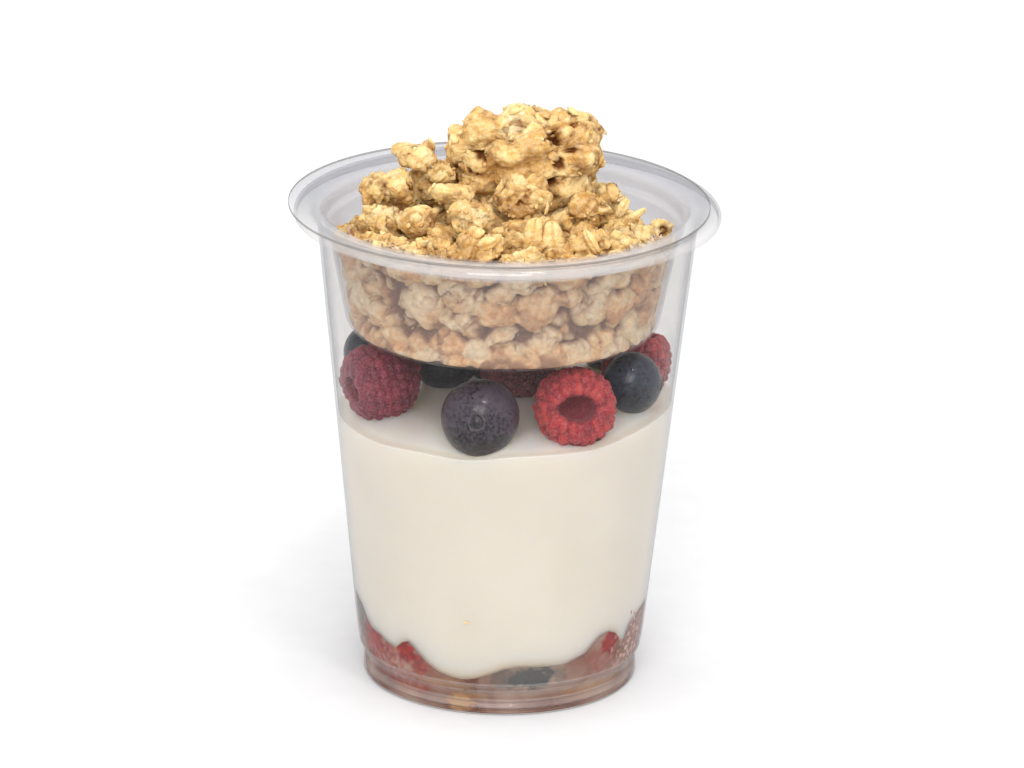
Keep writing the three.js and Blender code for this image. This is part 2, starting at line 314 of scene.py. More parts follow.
scene.view_settings.view_transform = "Standard"
scene.cycles.transparent_max_bounces = 40   # both cups are two faces thick, front and back
world = bpy.data.worlds.new("studio")
world.use_nodes = True
scene.world = world
sky = world.node_tree.nodes["Background"]
sky.inputs["Color"].default_value = srgb(studio["worldColour"])
sky.inputs["Strength"].default_value = studio["worldLight"]

for name, (place, side, watts) in studio["lamps"].items():
    lamp = bpy.data.objects.new(name, bpy.data.lights.new(name, "AREA"))
    lamp.data.size = side
    lamp.data.energy = watts
    lamp.location = place
    look = Vector(place) - Vector((0, 0, studio["aimHeight"]))
    lamp.rotation_euler = look.to_track_quat("Z", "Y").to_euler()
    scene.collection.objects.link(lamp)

# Seamless studio paper, calendered: matt, with a barely visible fibre, drawn 9 mm wide so that it shows.
paper, tree, where = newMaterial("mattSeamlessPaper")
fibre = addNode(tree, "TexNoise", {"Vector": where, "Scale": 112.5, "Detail": 3})
paperTone = addNode(tree, "ValToRGB", {0: fibre}, [(0.3, "#D8D8D9"), (0.7, "#DBDBDC")])
finishMaterial(tree, addNode(tree, "BsdfPrincipled", {
    "Base Color": paperTone, "Roughness": 0.9, "Specular IOR Level": 0.1}))

far = studio["paperHalf"]
floorMesh = bpy.data.meshes.new("paperFloor")
floorMesh.from_pydata([(-far, -far, 0), (far, -far, 0), (far, far, 0), (-far, far, 0)], [], [(0, 1, 2, 3)])
floorMesh.materials.append(paper)
floor = bpy.data.objects.new("paperFloor", floorMesh)
scene.collection.objects.link(floor)
print("camera, light and floor done")


outerCup = {
    "wall": 0.55,
    "height": 113,
    "baseRadius": 32.2,    # where the straight wall would meet the floor
    "taper": 0.1037,       # radius gained per mm of height
    "footRadius": 31.6,
    "rimRadius": 49,
    "ribs": [2.5, 3.6, 6.0, 7.7],   # heights of the fine ribs round the foot
    "ribHeight": 0.12,
    "ribWidth": 0.22,
    "ribDetail": 0.15,     # mm between the rows of points on the foot
}

insertCup = {
    "wall": 0.5,
    "offset": -0.7,        # x of its axis
    "flangeOffset": -1.9,  # x of the trimmed flange's axis
    "floor": 84.4,
    "shoulder": 108.4,
    "seat": 113.3,
    "flangeRadius": 48.25,
    "cutEdge": 0.12,       # width of the flange's trimmed edge
}


def coneRadius(height):
    # Radius of the outer cup's straight wall.
    return outerCup["baseRadius"] + outerCup["taper"] * height


def outerWall():
    # The outside face of the cup: raised floor, foot ring with one groove, step, cone, flange and rolled
    # lip. Fine ribs stand out of the foot: r += h exp(-((z - rib) / w)^2). The inside face lies a wall's
    # thickness further in. Gives the inside, and the loop of both.
    c = outerCup
    foot, top, rim = c["footRadius"], c["height"], c["rimRadius"]
    line = bendLine([
        (0, 2.7, 0), (12, 2.5, 2), (26.3, 2.4, 1.0), (28.2, 0, 0.8),
        (foot + 0.1, 0, 1.5), (foot + 0.15, 2.1, 0.5), (foot - 0.3, 2.9, 0.5), (foot - 0.05, 3.7, 0.4),
        (foot, 5.6, 0.7), (foot + 0.9, 7.0, 0.7), (coneRadius(11) - 0.1, 10.5, 2.5), (coneRadius(16), 16, 3),
        (coneRadius(60), 60, 6), (coneRadius(109.9), 109.9, 2.0), (45.1, top - 0.55, 1.4),
        (rim - 1.1, top - 0.55, 0.6), (rim - 0.55, top - 1.5, 0.5), (rim - 0.9, top - 2.15, 0.3),
    ])
    length = lengthAlong(line)
    onFoot = length[(line[:, 0] > 31) & (line[:, 1] < 9)]
    stops = np.union1d(length, np.arange(onFoot[0], onFoot[-1], c["ribDetail"]))
    line = np.stack(readLine(stops, length, line), 1)
    for rib in c["ribs"]:
        rise = c["ribHeight"] * np.exp(-((line[:, 1] - rib) / c["ribWidth"]) ** 2)
        line[:, 0] += rise * (line[:, 0] > 31.1)
    inside = offsetLine(line, c["wall"])
    return inside, np.concatenate([line, inside[::-1]])


def insertWall():
    # The outside face of the insert: domed floor, corner, wall with one bead, shoulder, collar and
    # flange. Gives the inside, and the loop of both.
    c = insertCup
    line = bendLine([
        (0, c["floor"] + 0.6, 0), (15, c["floor"] + 0.5, 4), (30.5, c["floor"] + 0.1, 2),
        (35.6, c["floor"], 2.6), (36.7, c["floor"] + 5, 3), (40.4, c["shoulder"] - 0.6, 0.5),
        (41.3, c["shoulder"] + 0.3, 0.5), (41.55, c["seat"] - 1.8, 1.0), (43.2, c["seat"], 1.2),
        (46, c["seat"], 1), (c["flangeRadius"] - 0.2, c["seat"], 0.08), (c["flangeRadius"], c["seat"], 0)], 7)
    inside = offsetLine(line, c["wall"])
    inside[-1] = line[-1] + [0, c["wall"]]
    return inside, np.concatenate([line, inside[::-1]])


cupInside, cupLoop = outerWall()
insertInside, insertLoop = insertWall()
wallPart = cupInside[(cupInside[:, 0] > 30) & (cupInside[:, 1] < 109)]
insertPart = insertInside[(insertInside[:, 0] > 33) & (insertInside[:, 0] < 41.2)]


def insideRadius(height):
    # Radius of the outer cup's inner face at a height, read along its line.
    return np.interp(height, wallPart[:, 1], wallPart[:, 0])


def insertRadius(height):
    # The same for the insert.
    return np.interp(height, insertPart[:, 1], insertPart[:, 0])


# PET cups, thermoformed from thin sheet. tint is what one face lets through; a sheet has two.
outerFinish = {
    "tint": "#F7F6F5",
    "thickAndBackShadeTint": "#E6E7E9",   # where the sheet is thick, and painted shade over the back half
    "edgeTint": "#DCDCDE",     # where it is seen edge-on
    # a painted dark line on the flange's trimmed edge, standing in for its refraction
    "cutEdgeShadeTint": "#A8A4A0",
    "edgeFrom": 0.7,           # the edge-on tint starts at this Facing
    "roughness": 0.06,
    "gloss": 0.006,
    "edgeGloss": 0.45,
    "foldGloss": 0.05,
    "haze": 0.005,
    # white haze on the folds, the lip and the collar: painted highlight
    "foldHazeHighlight": 0.33,
    "hazeColour": "#FBFAFA",
    "waveScale": 60,           # waves of 17 mm from uneven stretching
    "waveStrength": 0.1,
}
insertFinish = dict(outerFinish, tint="#FEFEFE", thickAndBackShadeTint="#ECECEE", edgeTint="#ECECED")
insertFinish.update(haze=0.05, waveScale=75)


def clearPlastic(name, finish):
    # What is behind shows unbent through a faint grey, which deepens where the sheet is seen edge-on. A weak
    # mirror gloss grows there as Facing^5. A little haze whitens the sheet, and much more on the folds, the
    # lip and the collar, where it is painted highlight.
    # The thick mark greys the sheet where it is thick and, as painted shade, over the back half; the cut mark
    # paints a dark line, painted shade, on the trimmed edge.
    material, tree, where = newMaterial(name)
    waves = addNode(tree, "TexNoise", {"Vector": where, "Scale": finish["waveScale"], "Detail": 1})
    bump = addNode(tree, "Bump", {"Height": waves, "Strength": finish["waveStrength"], "Distance": 0.001})
    slant = addNode(tree, "LayerWeight", {"Blend": 0.5}, out="Facing")
    edge = addNode(tree, "MapRange", {0: slant, 1: finish["edgeFrom"], 2: 1, 3: 0, 4: 1})
    thick, cut, fold = [addNode(tree, "Attribute", attribute_name=mark, out="Fac")
                        for mark in ("thick", "cut", "fold")]
    tint = srgb(finish["tint"])
    for share, colour in ((thick, "thickAndBackShadeTint"), (edge, "edgeTint"), (cut, "cutEdgeShadeTint")):
        tint = addNode(tree, "Mix", {0: share, 6: tint, 7: srgb(finish[colour])}, **colourMix)
    steep = addNode(tree, "Math", {0: slant, 1: 5}, operation="POWER")
    foldGloss, haze = [addNode(tree, "Math", {0: fold, 1: finish[more], 2: finish[least]},
                               operation="MULTIPLY_ADD")
                       for more, least in (("foldGloss", "gloss"), ("foldHazeHighlight", "haze"))]
    gloss = addNode(tree, "Math", {0: steep, 1: finish["edgeGloss"], 2: foldGloss}, operation="MULTIPLY_ADD")
    through = addNode(tree, "BsdfTransparent", {"Color": tint})
    mirror = addNode(tree, "BsdfGlossy", {"Roughness": finish["roughness"], "Normal": bump})
    sheet = addNode(tree, "MixShader", {0: gloss, 1: through, 2: mirror})
    cloud = addNode(tree, "BsdfDiffuse", {"Color": srgb(finish["hazeColour"])})
    finishMaterial(tree, addNode(tree, "MixShader", {0: haze, 1: sheet, 2: cloud}))
    return material


def foldsOf(line):
    # How sharply a line bends at each point: the angle turned per mm, 1 from 60 degrees per mm on.
    ahead = np.diff(line, axis=0, append=line[-1:])
    back = np.diff(line, axis=0, prepend=line[:1])
    length = np.linalg.norm(ahead, axis=1) + np.linalg.norm(back, axis=1)
    turn = np.abs(np.arctan2(ahead[:, 0] * back[:, 1] - ahead[:, 1] * back[:, 0], (ahead * back).sum(1)))
    return np.clip(2 * turn / np.maximum(length, 0.05) / radians(60), 0, 1)


def sheetSkin(loop, foldsAndHighlight, wallThick, flangeThick, centre=0):
    # The loop turned about Z, marked with its folds and their painted highlight, its cut edge, painted as a
    # dark line that stands in for its refraction, and how thick the sheet is: wallThick high up the wall,
    # where it is drawn out less, and flangeThick on the flange. Towards +Y the thickness mark grows to its
    # full value, painted shade that greys the back half, and the folds of the flange and their painted
    # highlight fade.
    points = turned(loop, centre=centre)
    y, z = points[..., 1], points[..., 2]
    onFlange = smooth(z, 111, 112.6)
    high = wallThick * smooth(z, 102, 106) * (1 - onFlange) + flangeThick * onFlange
    cutFrom = insertCup["flangeRadius"] - insertCup["cutEdge"]
    marks = {
        "fold": foldsAndHighlight[:, None] * (1 - 0.7 * smooth(y, -30, -5) * smooth(z, 107, 109)),
        # Painted shade: the thick tint is kept at a quarter in front and grows to full towards +Y, greying
        # the back half.
        "thick": high * (0.25 + 0.75 * smooth(y, -16, 8)),
        "cut": 1.0 * (loop[:, :1] > cutFrom) * (loop[:, 1:] > outerCup["height"] + 0.2),
    }
    return closedSkin(points, marks)


# Folds show weaker on the foot, the rim and the insert's floor, and the lip and the collar get stronger bands
# of painted highlight; the haze on the folds is painted highlight too.
cupRadius, cupHeight = cupLoop.T
onRim = smooth(cupHeight, 109, 111)
onFoot = smooth(-cupHeight, -10, -8)
# A band of painted highlight on the lip.
lipHighlight = 0.4 * onRim * smooth(cupRadius, 47.6, 48.2)
cupFoldsAndHighlight = np.maximum(foldsOf(cupLoop) * (1 - 0.7 * onFoot) * (1 - 0.7 * onRim), lipHighlight)
makePiece("clearCup", [sheetSkin(cupLoop, cupFoldsAndHighlight, 0.35, 0.8)],
          clearPlastic("thermoformedPetCup", outerFinish), ["outer_cup"])

loopRadius, loopHeight = insertLoop.T
slide = smooth(loopRadius, 41.8, 45.4)
insertCentre = insertCup["offset"] + (insertCup["flangeOffset"] - insertCup["offset"]) * slide
onSeat = smooth(loopHeight, 112, 113)
onBase = smooth(-loopHeight, -90, -87)
# A band of painted highlight on the collar.
collarHighlight = 0.8 * smooth(loopHeight, 108.6, 110) * (1 - onSeat)
insertFoldsAndHighlight = np.maximum(foldsOf(insertLoop) * (1 - onBase) * (1 - 0.75 * onSeat), collarHighlight)
makePiece("clearInsert", [sheetSkin(insertLoop, insertFoldsAndHighlight, 1, 0.9, insertCentre)],
          clearPlastic("thermoformedPetInsert", insertFinish), ["insert_cup"])
print("cups done")


yogurt = {
    "top": 65.8,           # mean height of its surface
    "tilt": 0.045,         # rise per mm towards +X
    "swell": 34,           # mm from one slow swell to the next
    "lip": 0.55,           # yogurt pushed up round each berry
    "intoWall": 0.25,
    "edgeRound": 4.5,      # the surface rounds over this far from the wall
    "edgeDrop": 0.6,       # and drops by this
    "dents": [(-10, 1.9, 5.5), (34, 1.3, 5.5)],   # in front of two berries: angle from -Y, depth, width
    "stainHeight": 1.3,    # mm over which juice stains the thin lower edge
    "columns": 360,
    "sideRows": 42,
    "topRows": 46,
}

# The yogurt's lower edge at the wall: angle from -Y in degrees, height.
lowerEdge = [
    (-180, 16.2), (-140, 17.5), (-100, 18.2), (-80, 20.4), (-71, 19.3), (-63, 15.2), (-56, 14.7), (-50, 13.5),
    (-46, 13.2), (-42, 15.2), (-39, 15.9), (-36, 14.6), (-31, 11.9), (-25, 9.9), (-20, 9.1), (-15, 8.8),
    (-10, 9.3), (-4, 10.6), (2, 12.0), (8, 12.5), (14, 12.3), (26, 12.1), (36, 14.0), (40, 16.2), (43, 17.5),
    (48, 17.9), (52.5, 16.8), (56, 14.6), (58.5, 13.8), (61, 16.2), (63.5, 17.8), (70, 19.0), (80, 19.6),
    (100, 17.8), (140, 17.0), (180, 16.2),
]

# Fruit on the yogurt: centre, half size across, the way the hollow or crown faces.
berries = {
    "raspberry_left": ((-28.2, -7.3, 72.6), 9.1, (-0.88, -0.42, -0.16)),
    "raspberry_front": ((16, -23.9, 72.7), 9.3, (0.1, -0.95, 0.28)),
    "raspberry_right": ((30.2, 4.7, 73.8), 8.2, (0.15, 0.1, 0.98)),
    "raspberry_middle": ((2.6, 2.2, 73.4), 8.6, (0.55, 0.3, 0.78)),
    "raspberry_back": ((7, 28.4, 73.4), 8.4, (0.2, 0.9, 0.38)),
    "blueberry_front": ((-5.4, -29.5, 71.8), 8.9, (-0.09, -0.97, 0.2)),
    "blueberry_right": ((29.3, -11.6, 74.7), 7.2, (0.94, -0.3, 0.02)),
    "blueberry_left": ((-30.2, 9.4, 74), 7.3, (-0.5, 0.8, 0.3)),
    "blueberry_middle": ((-14.2, 9.2, 73.6), 8.4, (0.3, -0.2, 0.93)),
    "blueberry_back": ((-14.1, 26.9, 72.4), 8.0, (-0.3, 0.93, -0.2)),
    "blueberry_back_right": ((24, 20, 73.6), 7.5, (0.5, 0.5, 0.7)),
}
hiddenBlueberry = ((-4.2, 13, 69.4), 3.7, (0.2, 0.1, 0.9))   # fills the gap behind the front ones


def surfaceLevel(x, y):
    # Level, tilt and slow swells, with a low lip of yogurt pushed up round each berry, and dents:
    # z -= depth exp(-(distance / width)^2).
    k = 2 * pi / yogurt["swell"]
    swell = 0.27 * np.sin(k * x + 1.3) * np.cos(k * (y - 0.4 * x) + 0.4)
    swell += 0.18 * np.sin(k * 0.8 * y - 0.7) * np.cos(k * 0.7 * x + 2.1)
    swell += 1.1 * np.exp(-((x - 32) ** 2 + (y + 8) ** 2) / 160)   # higher under blueberry_right
    swell += 1.2 * smooth(-np.hypot(x, y), -36, -22) - 0.1         # and in the middle
    level = yogurt["top"] + yogurt["tilt"] * x + swell
    for (bx, by, bz), size, _ in berries.values():
        sunk = np.clip((bz - level) / size, -0.95, 0.95)
        away = np.hypot(x - bx, y - by) - size * np.sqrt(1 - sunk ** 2)
        level = level + yogurt["lip"] * np.exp(-(np.maximum(away, 0) / 1.7) ** 2) * smooth(away, -3, 0)
    for angle, depth, wide in yogurt["dents"]:
        past = np.hypot(x - 33 * sin(radians(angle)), y + 33 * cos(radians(angle)))
        level = level - depth * np.exp(-(past / wide) ** 2)
    return level


def boundaryLevel(x, y):
    # The lower edge at the wall by the angle from -Y, and a slow rise towards the middle.
    knots, heights = np.array(lowerEdge).T
    edge = np.interp(np.arctan2(x, -y), np.radians(knots), heights)
    inward = np.clip(1 - np.hypot(x, y) / 34, 0, 1)
    return edge + (15.5 - edge) * smooth(inward, 0, 0.8) + 0.8 * np.sin(x / 3.1) * np.cos(y / 3.7) * inward


def filledGrid(floorLine, lower, upper, into):
    # A body that fills the cup between two levels, or from floorLine up to the upper one. Rows run from
    # the middle of the lower surface out to the wall, up the wall and back to the middle on top:
    # r = R s, z = level(r cos v, r sin v). Over a floorLine the top stays sharp at the wall.
    v = np.linspace(0, 2 * pi, yogurt["columns"], endpoint=False)
    c, s = np.cos(v), np.sin(v)
    share = np.sin(np.linspace(0, pi / 2, yogurt["topRows"]))[:, None]

    def edgeOf(level):
        # The radius at which a level meets the wall, found in a few steps.
        radius = np.full_like(v, 33.0)
        for _ in range(5):
            radius = insideRadius(level(radius * c, radius * s)) + into
        return radius

    def disc(level, edge):
        # The level's surface from the middle out to the edge.
        across = share * edge
        return np.stack([across * c, across * s, level(across * c, across * s)], -1)

    topEdge = edgeOf(upper)
    top = disc(upper, topEdge)
    if floorLine is None:
        nearWall = np.clip(1 - (topEdge - share * topEdge) / yogurt["edgeRound"], 0, 1)
        top[..., 2] -= yogurt["edgeDrop"] * (1 - np.sqrt(1 - nearWall ** 2))
        base = disc(lower, edgeOf(lower))
    else:
        base = turned(floorLine, yogurt["columns"])
    start, end = base[-1, :, 2], top[-1, :, 2]
    rise = np.concatenate([[0.002], np.linspace(0, 1, yogurt["sideRows"])[1:-1], [0.998]])[:, None]
    height = start + (end - start) * rise
    radius = insideRadius(height) + into
    side = np.stack([radius * c, radius * s, height], -1)
    return np.concatenate([base, side, top[::-1]])


# Whole-milk yogurt, stirred and spooned in: smooth cream, soft gloss, light goes a little way in.
cream, tree, where = newMaterial("spoonedYogurt")
clouds = addNode(tree, "TexNoise", {"Vector": where, "Scale": 45, "Detail": 3})   # 22 mm
layer = addNode(tree, "ValToRGB", {0: clouds}, [(0.35, "#D2CCC0"), (0.65, "#D6D0C5")])
# open is painted light that makes the free surface paler; stain is juice showing through the thin lower edge.
for mark, colour in (("paintedTopLight", "#FFFBF2"), ("stain", "#D8AE72")):
    share = addNode(tree, "Attribute", attribute_name=mark, out="Fac")
    layer = addNode(tree, "Mix", {0: share, 6: layer, 7: srgb(colour)}, **colourMix)
curd = addNode(tree, "TexNoise", {"Vector": where, "Scale": 700, "Detail": 2})    # 1.4 mm
bump = addNode(tree, "Bump", {"Height": curd, "Strength": 0.12, "Distance": 0.0003})
finishMaterial(tree, addNode(tree, "BsdfPrincipled", {
    "Base Color": layer, "Roughness": 0.32, "IOR": 1.4, "Subsurface Weight": 1,
    "Subsurface Radius": (1, 0.85, 0.65), "Subsurface Scale": 0.014, "Coat Weight": 0.4,
    "Coat Roughness": 0.1, "Normal": bump}))

# stain marks the lower edge, where the yogurt is thin, most at the front; open paints the free surface paler,
# fading out at the wall: painted light for the surface that lies in the insert's shade.
points = filledGrid(None, boundaryLevel, surfaceLevel, yogurt["intoWall"])
x, y, z = np.moveaxis(points, -1, 0)
atFront = 0.45 + 0.55 * smooth(-np.abs(np.arctan2(x, -y) + 0.1), -0.7, -0.3)
stain = 0.75 * np.exp(-((z - boundaryLevel(x, y)) / yogurt["stainHeight"]) ** 2) * atFront
onSurface = (np.arange(len(points)) >= len(points) - yogurt["topRows"])[:, None]
marks = {"stain": stain, "paintedTopLight": onSurface * smooth(39 - np.hypot(x, y), 0.5, 4)}
makePiece("yogurtLayer", [closedSkin(points, marks)], cream, ["yogurt_layer"])

# Juice of thawed berries with soft fruit in it: cloudy pink-brown, red where flesh lies at the wall,
# slate where a skin does, amber where it is clear. Places are an angle from -Y, height, half width
# along the wall and half height in mm, and a strength.
juiceSpots = {
    "flesh": [(-48, 5.6, 10, 2.6, 0.5), (-61, 12.2, 4.8, 4.4, 1), (-51, 10.8, 5, 3.4, 0.75),
              (-41, 13.2, 3.4, 3, 1), (-34, 11, 3.8, 2.8, 0.7), (49, 15.0, 3.0, 2.4, 1),
              (46, 11.4, 5, 3.4, 0.35), (75, 11.5, 4, 4, 0.5), (118, 12, 6, 4, 0.9),
              (-138, 12, 6.5, 4, 0.9), (62.5, 20, 0.5, 0.9, 1)],
    "slate": [(-74, 16.4, 4, 5.5, 0.9), (-58, 4.8, 3.6, 1.9, 0.75), (4, 9.6, 5, 2.4, 0.75),
              (13, 9.8, 6.4, 3, 1), (23, 10.2, 4, 2.2, 0.7), (68, 6, 4, 2.2, 0.35),
              (-100, 9, 6, 5, 0.8), (95, 8, 5, 4, 0.7), (160, 9, 7, 5, 0.8)],
    "amber": [(-16.6, 2.4, 3.2, 1.9, 1), (-12, 4.8, 3.2, 1.2, 0.4), (40, 4.5, 7, 1.8, 0.35),
              (-42, 3, 4, 1.4, 0.3), (-24, 7, 8, 1.2, 0.5), (140, 4, 8, 2, 0.4)],
    "seeds": [(66, 13, 5.5, 6.5, 1), (58, 9.5, 3.4, 3, 0.7), (-52, 9.5, 6, 3, 0.2),
              (-85, 9, 5, 4, 0.5), (130, 9, 8, 4, 0.6)],
}
spotColours = {"amber": "#CFA270", "slate": "#545453", "flesh": "#98302B", "seeds": "#E3BCB2"}

juice, tree, where = newMaterial("thawedBerryJuice")
swirl = addNode(tree, "TexNoise", {"Vector": where, "Scale": 70, "Detail": 4, "Distortion": 0.6})   # 14 mm
layer = addNode(tree, "ValToRGB", {0: swirl}, [(0.35, "#86584B"), (0.5, "#AC8A7B"), (0.66, "#CBAF9E")])
pulp = addNode(tree, "TexNoise", {"Vector": where, "Scale": 800, "Detail": 3})    # 1.2 mm
for mark, colour in spotColours.items():
    share = addNode(tree, "Attribute", attribute_name=mark, out="Fac")
    if mark == "seeds":   # pale specks of seed and pulp
        speck = addNode(tree, "MapRange", {0: pulp, 1: 0.5, 2: 0.6, 3: 0, 4: 1})
        share = addNode(tree, "Math", {0: share, 1: speck}, operation="MULTIPLY")
    layer = addNode(tree, "Mix", {0: share, 6: layer, 7: srgb(colour)}, **colourMix)
    if mark == "flesh":   # drupelets, 1.5 mm apart, with painted shade between them
        drupelets = addNode(tree, "TexVoronoi", {"Vector": where, "Scale": 650}, out="Distance")
        between = addNode(tree, "MapRange", {0: drupelets, 1: 0.3, 2: 0.7, 3: 0, 4: 0.6})
        dim = addNode(tree, "Math", {0: between, 1: share}, operation="MULTIPLY")
        layer = addNode(tree, "Mix", {0: dim, 6: layer, 7: srgb("#5E1B20")}, **colourMix)
bump = addNode(tree, "Bump", {"Height": pulp, "Strength": 0.35, "Distance": 0.0005})
cloudy = addNode(tree, "BsdfPrincipled", {
    "Base Color": layer, "Roughness": 0.25, "IOR": 1.35, "Normal": bump})
clear = addNode(tree, "BsdfTransparent", {"Color": srgb("#E6C6B8")})
thick = addNode(tree, "Attribute", attribute_name="thick", out="Fac")
finishMaterial(tree, addNode(tree, "MixShader", {0: thick, 1: clear, 2: cloudy}))


def spotted(points, spots):
    # Each spot's strength inside it and 0 outside, with ragged edges: |(p - spot) / half|, moved by
    # noise, runs from 0.7 to 1.4 across the edge.
    angle = np.degrees(np.arctan2(points[..., 0], -points[..., 1]))
    ragged = 0.5 * softNoise(points, 1.5, 7) + 0.3 * softNoise(points, 0.6, 8)
    amount = np.zeros(points.shape[:-1])
    for middle, height, wide, high, strength in spots:
        along = ((angle - middle + 180) % 360 - 180) * radians(33)
        away = np.hypot(along / wide, (points[..., 2] - height) / high) + ragged
        amount = np.maximum(amount, strength * smooth(-away, -1.4, -0.7))
    return amount * (np.hypot(points[..., 0], points[..., 1]) > 26)


# The juice stands on the cup's floor, sunk a little into it, and reaches 0.4 mm into the yogurt.
floorPart = cupInside[cupInside[:, 1] < 8.2] + [0, -0.2]
floorPart[(floorPart[:, 1] > 1.2) & (floorPart[:, 0] > 29), 0] += 0.18
points = filledGrid(floorPart, None, lambda x, y: boundaryLevel(x, y) + 0.4, 0.2)
marks = {mark: spotted(points, spots) for mark, spots in juiceSpots.items()}
marks["thick"] = 0.55 + 0.4 * np.maximum.reduce([marks["flesh"], marks["slate"], 0.5 * marks["seeds"]])
makePiece("juiceLayer", [closedSkin(points, marks)], juice, ["juice_layer"])
print("yogurt and juice done")


raspberry = {
    "spacing": 0.225,      # distance between drupelets, as a share of the half size, as all below
    "half": (0.145, 0.14, 0.155),   # along the berry, across it and outwards
    "mouth": 0.53,         # radius of the rim of the open hollow
    "squash": 0.28,        # how much lower than wide the hollow is
    "detail": 0.036,       # distance between the points of its skin
    "sunkDetail": 0.06,    # and of those in the juice
    "bruised": {"raspberry_front": [(8.6, -1.5, 0), (1.9, -2, -8.6), (6.4, -3, -5.8)]},   # mm from its centre
}

blueberry = {
    "flat": 0.93,          # height along its axis, as a share of its width
    "crown": 0.21,         # radius of the ring
    "ringWidth": 0.02,
    "ringHeight": 0.03,
    "lobes": 5,
    "columns": 84,
}

# Fruit sunk in the juice: angle from -Y in degrees, height of its centre, half size.
sunkRaspberries = [(-61, 10.2, 8.2), (-40, 8.4, 7.6), (50, 9.6, 7.6), (128, 9.6, 8.4), (-140, 9.4, 8.0)]
sunkBlueberries = [(13, 7.0, 6.2), (-78, 13.0, 5.6), (-56, 4.9, 3.0), (74, 12.6, 5.4), (100, 8.6, 6.6),
                   (-105, 8.4, 6.8), (165, 8.4, 7.0), (-170, 8.6, 6.2)]
sunkDepth = 0.15   # mm from the cup's inner face to the fruit pressed against it


def pressed(points):
    # Keeps points inside the outer cup: the radius stops sunkDepth short of its inner face.
    radius = np.hypot(points[..., 0], points[..., 1])
    limit = insideRadius(points[..., 2]) - sunkDepth
    share = np.where(radius > limit, limit / np.maximum(radius, 1e-6), 1)
    return np.stack([points[..., 0] * share, points[..., 1] * share, np.maximum(points[..., 2], 3.2)], -1)


def drupeletPlaces(line, slope, stops, rim, rng):
    # Rings of drupelets from the rim down to the tip, each ring turned half a step and a little at
    # random. Gives their centres, and for each a matrix of three directions: along, across, outwards.
    rings = int(round(rim / raspberry["spacing"]))
    places, ways = [], []
    for i in range(rings + 1):
        s = rim * (1 - i / rings)
        r, z = readLine(s, stops, line)
        dr, dz = readLine(s, stops, slope)
        count = max(1, round(2 * pi * r / (raspberry["spacing"] * (0.8 if i < 2 else 1))))
        turn = (np.arange(count) + 0.5 * (i % 2) + rng.uniform(-0.16, 0.16, count)) * 2 * pi / count
        c, k = np.cos(turn), np.sin(turn)
        places.append(np.stack([r * c, r * k, z + 0 * c], 1))
        three = np.stack([dr * c, dr * k, dz + 0 * c, -k, c, 0 * c, dz * c, dz * k, -dr + 0 * c], 1)
        ways.append(three.reshape(-1, 3, 3))
    return np.concatenate(places), np.concatenate(ways)


def raspberrySkin(at, size, faces, salt, detail=raspberry["detail"], keep=None, bruised=()):
    # A cup-shaped body turned from its outline: tip, side, shoulder, mouth, hollow. Drupelets are
    # ellipsoids on it. The skin lies along the body's normal at the far side of the furthest of them:
    # p + n max(t). keep moves the points at the end.
    rng = np.random.default_rng(salt)
    mouth = raspberry["mouth"]
    outline = bendLine([
        (0, -0.84, 0), (0.42, -0.78, 0.2), (0.72, -0.5, 0.25), (0.86, -0.12, 0.25), (0.87, 0.24, 0.25),
        (0.8, 0.56, 0.2), (0.67, 0.75, 0.1), (mouth, 0.77, 0.08), (mouth - 0.06, 0.56, 0.12),
        (mouth - 0.16, 0.1, 0.15), (0, -0.15, 0)], 9)
    length = lengthAlong(outline)
    stops = np.linspace(0, length[-1], int(length[-1] / detail))
    line = np.stack(readLine(stops, length, outline), 1)
    slope = unit(np.gradient(line, axis=0))
    columns = int(5.2 / detail)
    base = turned(line, columns)
    v = np.linspace(0, 2 * pi, columns, endpoint=False)
    out = np.stack([slope[:, 1:] * np.cos(v), slope[:, 1:] * np.sin(v), -slope[:, :1] + 0 * v], -1)
    highest = np.argmax(line[:, 1])
    places, ways = drupeletPlaces(line, slope, stops, stops[highest], rng)
    count = len(places)
    places = places + rng.normal(0, 0.014, (count, 3))
    half = np.array(raspberry["half"]) * rng.uniform(0.9, 1.12, (count, 1))
    half *= rng.uniform(0.94, 1.06, (count, 3))
    half *= 1 + smooth(places[:, 2], 0.45, 0.7)[:, None] * [0.1, -0.05, -0.15]   # longer at the mouth
    reach = lumpReach(base, out, places, ways / half[:, :, None])
    reach = np.where(reach < 1.9 * half[:, 2], reach, 0)   # not those across the hollow
    skin, owner = reach.max(-1), reach.argmax(-1)
    tone = rng.uniform(0, 1, count)
    turnBerry = turnTo(faces)
    for spot in bruised:
        tone[np.argmin(np.linalg.norm(places @ turnBerry.T * size - spot, axis=1))] = 1.9
    local = base + out * skin[..., None]
    inside = (np.arange(len(line)) > highest)[:, None]
    hollow = inside * smooth(0.86 - local[..., 2], 0, 0.16)
    narrow = smooth(local[..., 2], 0.2, 0.7) * smooth(-np.hypot(local[..., 0], local[..., 1]), -0.95, -0.5)
    local[..., 1] *= 1 - raspberry["squash"] * np.maximum(narrow, inside)
    points = local * size @ turnBerry.T + at
    points = joinPoles(points + np.where(skin == 0, 0.25 * softNoise(points, 1.1, salt), 0)[..., None])
    # crease marks the seams between drupelets, which the finish paints darker as shade.
    marks = {"tone": np.where(skin > 0, tone[owner], 0.6), "hollow": hollow,
             "crease": smooth(-skin, -0.115, -0.07) * (1 - hollow)}
    return closedSkin(keep(points) if keep else points, marks)


